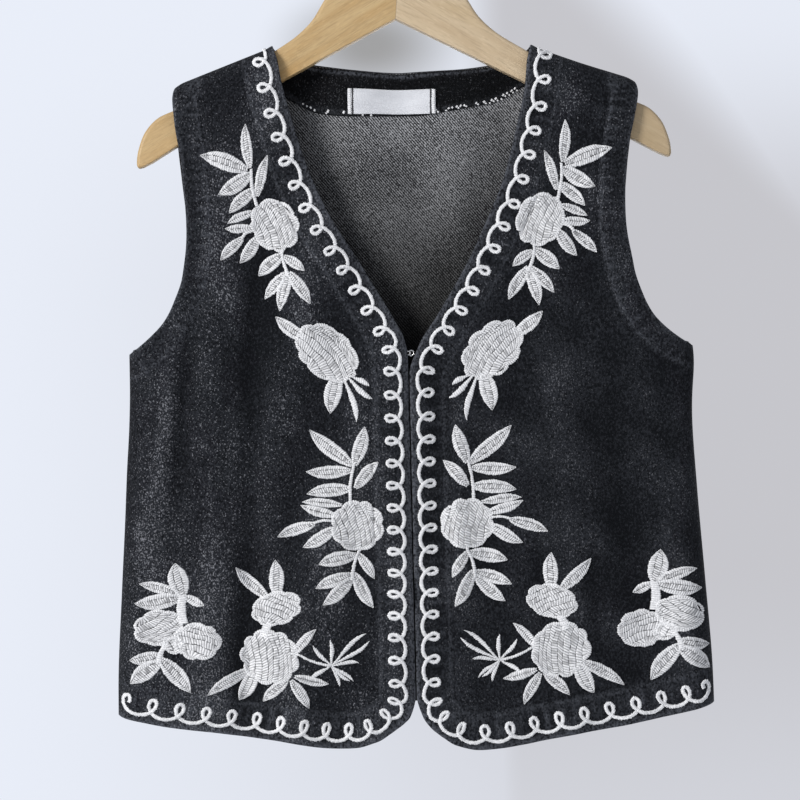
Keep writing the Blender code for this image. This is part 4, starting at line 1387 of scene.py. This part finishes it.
def denim_outside(name, tone, specks):
    """Near-black washed denim: fine pale specks, closer together on ridges and to the left as painted light,
    fewer on the lower right as painted shade; paler where worn and with a painted highlight along its edges.
    """
    shader = Shader(name, 0.95)
    shader.set(shader.surface, {"Sheen Weight": 0.02, "Sheen Roughness": 0.5, "Specular IOR Level": 0.1})
    cloud = shader.range(shader.noise(34, 3, (1, 1, 1.8)), 0.34, 0.66)
    fade = shader.range(shader.noise(11, 2, (1, 1, 1.4)), 0.36, 0.64)
    painted_light = shader.attribute("painted_light")
    level = shader.math("ADD", shader.range(cloud, 0, 1, -0.03, 0.03), shader.range(fade, 0, 1, -0.02, 0.02))
    # Painted light: specks closer together and the cloth paler on ridges and to the left, darker in troughs
    level = shader.math("ADD", level, shader.math("MULTIPLY", painted_light, 0.095))
    fleck = shader.noise(1150, 1, (1, 1, 1.25))
    grain = shader.noise(820, 3, (1, 1, 1.3))
    flecks = shader.range(shader.math("ADD", fleck, level), 0.61, 0.84, 0.0, specks)
    # Painted shade: fewer specks on the lower right, away from the light
    right_painted_shade = shader.math("MULTIPLY", shader.range(shader.axis("X"), -0.03, 0.05),
                       shader.range(shader.axis("Z"), -0.22, -0.30))
    flecks = shader.math("MULTIPLY", flecks, shader.range(right_painted_shade, 0.0, 1.0, 0.88, 0.42))
    shade = shader.range(shader.math("ADD", grain, level), 0.36, 0.74)
    base = shader.mix(shade, *(scaled(colour, tone) for colour in DENIM))
    pale = shader.mix(flecks, base, DENIM_FLECK)
    # Paler where the cloth is worn, and along its edges as a painted highlight
    wear_and_highlight = shader.math("MULTIPLY", shader.attribute("wear_and_highlight"), shader.range(grain, 0.34, 0.62), True)
    colour = shader.mix(shader.math("MULTIPLY", wear_and_highlight, 0.75), pale, DENIM_WORN_AND_HIGHLIT)
    twill = shader.math("MULTIPLY", shader.sine((0.72, 0.72, 0.72), 0.00085), 0.2)
    height = shader.math("ADD", twill, grain)
    return shader.finish(colour, height, 0.5, 0.0002)


def denim_inside():
    """Inner face of the denim: pale weft over dark warp, in fine diagonal dots, with painted shadow low in
    the V and towards its sides.
    """
    shader = Shader("denim_inside", 0.95)
    shader.set(shader.surface, {"Sheen Weight": 0.05, "Specular IOR Level": 0.15})
    cloud = shader.range(shader.noise(24, 2), 0.36, 0.64, -0.14, 0.14)
    diagonal = shader.sine((0.76, 0.0, 0.65), 0.00138)
    warp = shader.sine((-0.60, 0.0, 0.80), 0.0019)
    grain = shader.range(shader.noise(1000, 2), 0.3, 0.7, -0.55, 0.55)
    dots = shader.math("MULTIPLY", diagonal, shader.range(warp, -1, 1, 0.25, 0.75))
    dots = shader.math("ADD", shader.math("ADD", dots, grain), cloud)
    share = shader.range(dots, -0.25, 0.75)
    # Painted shadow: darker low in the V and towards the left and right, where the fronts shade the inside
    depth = shader.math("POWER", shader.range(shader.axis("Z"), -0.320, -0.157), 1.6)
    across = shader.range(shader.axis("X"), -0.078, -0.030, 0.25, 1.0)
    beyond = shader.range(shader.axis("X"), 0.028, 0.060, 1.0, 0.82)
    depth = shader.math("MULTIPLY", depth, shader.math("MULTIPLY", across, beyond))
    dark = shader.mix(depth, *INSIDE_WARP_SHADED_AND_LIT)
    pale = shader.mix(depth, *INSIDE_WEFT_SHADED_AND_LIT)
    return shader.finish(shader.mix(share, dark, pale), dots, 0.5, 0.0002)


def thread(kind):
    """Lustrous embroidery thread, dark where the cloth shows between its stitches and with painted shade in
    their grooves.
    """
    low, high, gap = THREADS[kind]
    shader = Shader("thread_" + kind, 0.45)
    shader.set(shader.surface, {"Sheen Weight": 0.12, "Sheen Roughness": 0.4, "Specular IOR Level": 0.4})
    shade = shader.range(shader.noise(620, 2), 0.35, 0.65)
    colour = shader.mix(shade, low, high)
    colour = shader.mix(shader.attribute("shade"), colour, gap)
    return shader.finish(colour, shader.noise(3000, 1), 0.3, 0.0001)


def label_satin():
    """White woven satin with fine ribs."""
    shader = Shader("label_satin", 0.38)
    shader.set(shader.surface, {"Sheen Weight": 0.3})
    rib = shader.sine((0.0, 0.0, 1.0), 0.0007)
    shade = shader.range(shader.noise(160, 2, (6, 1, 1)), 0.35, 0.65)
    colour = shader.mix(shade, *SATIN)
    return shader.finish(colour, rib, 0.3, 0.0001)


def wood(side):
    """Pale beech with its grain along one arm, a stain in broad streaks, and darker towards the tip."""
    name, tilt, light, dark, stain, tip = WOODS[side]
    shader = Shader(name, 0.5)
    shader.set(shader.surface, {"Coat Weight": 0.06, "Coat Roughness": 0.35, "Specular IOR Level": 0.3})
    bands = shader.range(shader.noise(190, 3, (11, 1, 1), tilt), 0.36, 0.66)
    flecks = shader.range(shader.noise(900, 2, (4, 1, 1), tilt), 0.55, 0.72)
    pores = shader.range(shader.noise(1500, 2, (14, 1, 1), tilt), 0.50, 0.70)
    streaks = shader.range(shader.noise(42, 2, (4, 1, 1), tilt), 0.52, 0.68)
    colour = shader.mix(bands, light, dark)
    colour = shader.mix(shader.math("MULTIPLY", streaks, 0.75), colour, stain)
    colour = shader.mix(shader.math("MULTIPLY", flecks, 0.35), colour, scaled(light, 1.18))
    colour = shader.mix(shader.math("MULTIPLY", pores, 0.4), colour, scaled(dark, 0.62))
    far = shader.range(shader.math("ABSOLUTE", shader.axis("X"), 0.0), 0.125, 0.150, 0.0, tip)
    colour = shader.mix(far, colour, scaled(stain, 0.8))
    return shader.finish(colour, pores, 0.15, 0.0002)


def steel():
    shader = Shader("hook_steel", 0.24, 1.0)
    shade = shader.range(shader.noise(240, 2, (1, 1, 4)), 0.35, 0.65)
    colour = shader.mix(shade, *STEEL)
    return shader.finish(colour, shader.noise(1800, 2), 0.1, 0.0001)


def dress_node(name, material):
    """A solid whose shape is right keeps it and gets a finer material."""
    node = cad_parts[name]
    node.material_slots[0].material = material


def make_floor():
    """Pale floor, well below the hem."""
    mesh = bpy.data.meshes.new("floor")
    half, level = FLOOR_HALF * MM, FLOOR_LEVEL * MM
    mesh.from_pydata([(-half, -half, level), (half, -half, level), (half, half, level),
                      (-half, half, level)], [], [(0, 1, 2, 3)])
    shader = Shader("floor_paint", 0.8)
    shade = shader.range(shader.noise(3, 2), 0.3, 0.7)
    mesh.materials.append(shader.finish(shader.mix(shade, *FLOOR_PAINT)))
    floor = linked("floor", mesh)


def make_light(name, lamp):
    """Soft square light."""
    data = bpy.data.lights.new(name, "AREA")
    data.shape = "SQUARE"
    data.size = lamp.size
    data.energy = lamp.power
    data.color = lamp.colour
    light = linked(name, data)
    light.location = lamp.place
    light.rotation_euler = (Vector(lamp.aim) - Vector(lamp.place)).to_track_quat("-Z", "Y").to_euler()


def make_world():
    """Pale studio surroundings with painted shade: greyer to the right, a painted shadow below a slope
    beside the right shoulder and another behind the hanger's middle. They light the vest less than they
    show."""
    world = bpy.data.worlds.new("studio")
    world.use_nodes = True
    bpy.context.scene.world = world
    nodes = Nodes(world.node_tree)

    def eased(value, low, high, to_low=0.0, to_high=1.0):
        return nodes.range(value, low, high, to_low, to_high, "SMOOTHSTEP")

    heading = nodes.node("TexCoord").outputs["Generated"]
    parts = nodes.node("SeparateXYZ", {0: heading}).outputs
    across, up = parts["X"], parts["Z"]
    # Painted shade: greyer to the right, less so near the top and the bottom
    painted_shade = nodes.math("MULTIPLY", eased(across, -0.20, 0.16), eased(up, 0.150, 0.035, 0.12, 1.0))
    # Painted shadow of the vest on the wall beside the right shoulder
    beside = nodes.math("MULTIPLY", eased(across, 0.02, 0.045),
                        eased(nodes.math("ADD", across, up), 0.260, 0.212))
    painted_shade = nodes.math("MAXIMUM", painted_shade, beside)
    painted_shade = nodes.math("MULTIPLY", painted_shade, eased(up, -0.18, -0.06, 0.70, 1.0))
    colour = nodes.mix(painted_shade, WALL_PALE, WALL_SHADOW)
    # Painted shadow behind the hanger's middle
    stretched = nodes.node("VectorMath", {0: heading, 1: HANGER_SHADOW_STRETCH}, operation="MULTIPLY").outputs[0]
    hanger_shadow = nodes.node("VectorMath", {0: stretched, 1: HANGER_SHADOW_HEADING}, operation="DISTANCE")
    colour = nodes.mix(eased(hanger_shadow.outputs["Value"], *HANGER_SHADOW_REACH, 1.0, 0.0), colour, HANGER_SHADOW_COLOUR)
    seen = nodes.node("LightPath").outputs["Is Camera Ray"]
    strength = eased(seen, 0.0, 1.0, WALL_LIGHT, 1.0)
    nodes.set(nodes.tree.nodes["Background"], {"Color": colour, "Strength": strength})


def make_camera():
    """Straight at the fronts, with the slight roll at which the vest hangs in its photograph."""
    data = bpy.data.cameras.new("camera")
    data.sensor_width = SENSOR_WIDTH
    data.lens = SENSOR_WIDTH * VIEW_DISTANCE / VIEW_WIDTH
    data.clip_start = 0.05
    camera = linked("camera", data)
    x, z = VIEW_CENTRE
    camera.location = (x * MM, (VIEW_PLANE - VIEW_DISTANCE) * MM, z * MM)
    camera.rotation_euler = (math.radians(90), math.radians(VIEW_ROLL), 0.0)
    bpy.context.scene.camera = camera


def main():
    bpy.context.scene.view_settings.view_transform = "Standard"
    make_camera()
    make_world()
    make_floor()
    for name, lamp in LAMPS.items():
        make_light(name, lamp)
    for side in WOODS:
        make_arm(side, wood(side))
    white, cord, dark = (thread(kind) for kind in THREADS)
    outside, inside = denim_outside("denim_outside", 1.0, 1.0), denim_inside()
    back = make_back(outside, inside)
    # Painted shade: the facing is a darker copy of the outer denim
    facing = make_facing(denim_outside("denim_facing_shaded", FACING_SHADED_TONE, FACING_SHADED_SPECKS))
    label = make_label(label_satin())
    overlock = make_overlock(OVERLOCK_SEED, white)
    bars = make_label_bars(BAR_SEED, white, dark)
    for k, side in enumerate(("left", "right")):
        front = make_front(side, outside, inside)
        sewn_on = [make_border(side, BORDER_SEED + k, cord)]
        for number, name in enumerate(SPRIG_PLACES):
            sewn_on.append(make_sprig(name, side, SPRIG_SEED_STEP * k + number, white))
    metal = steel()
    for name in ("hanger_hook", "fastening_hook", "fastening_eye"):
        dress_node(name, metal)


main()
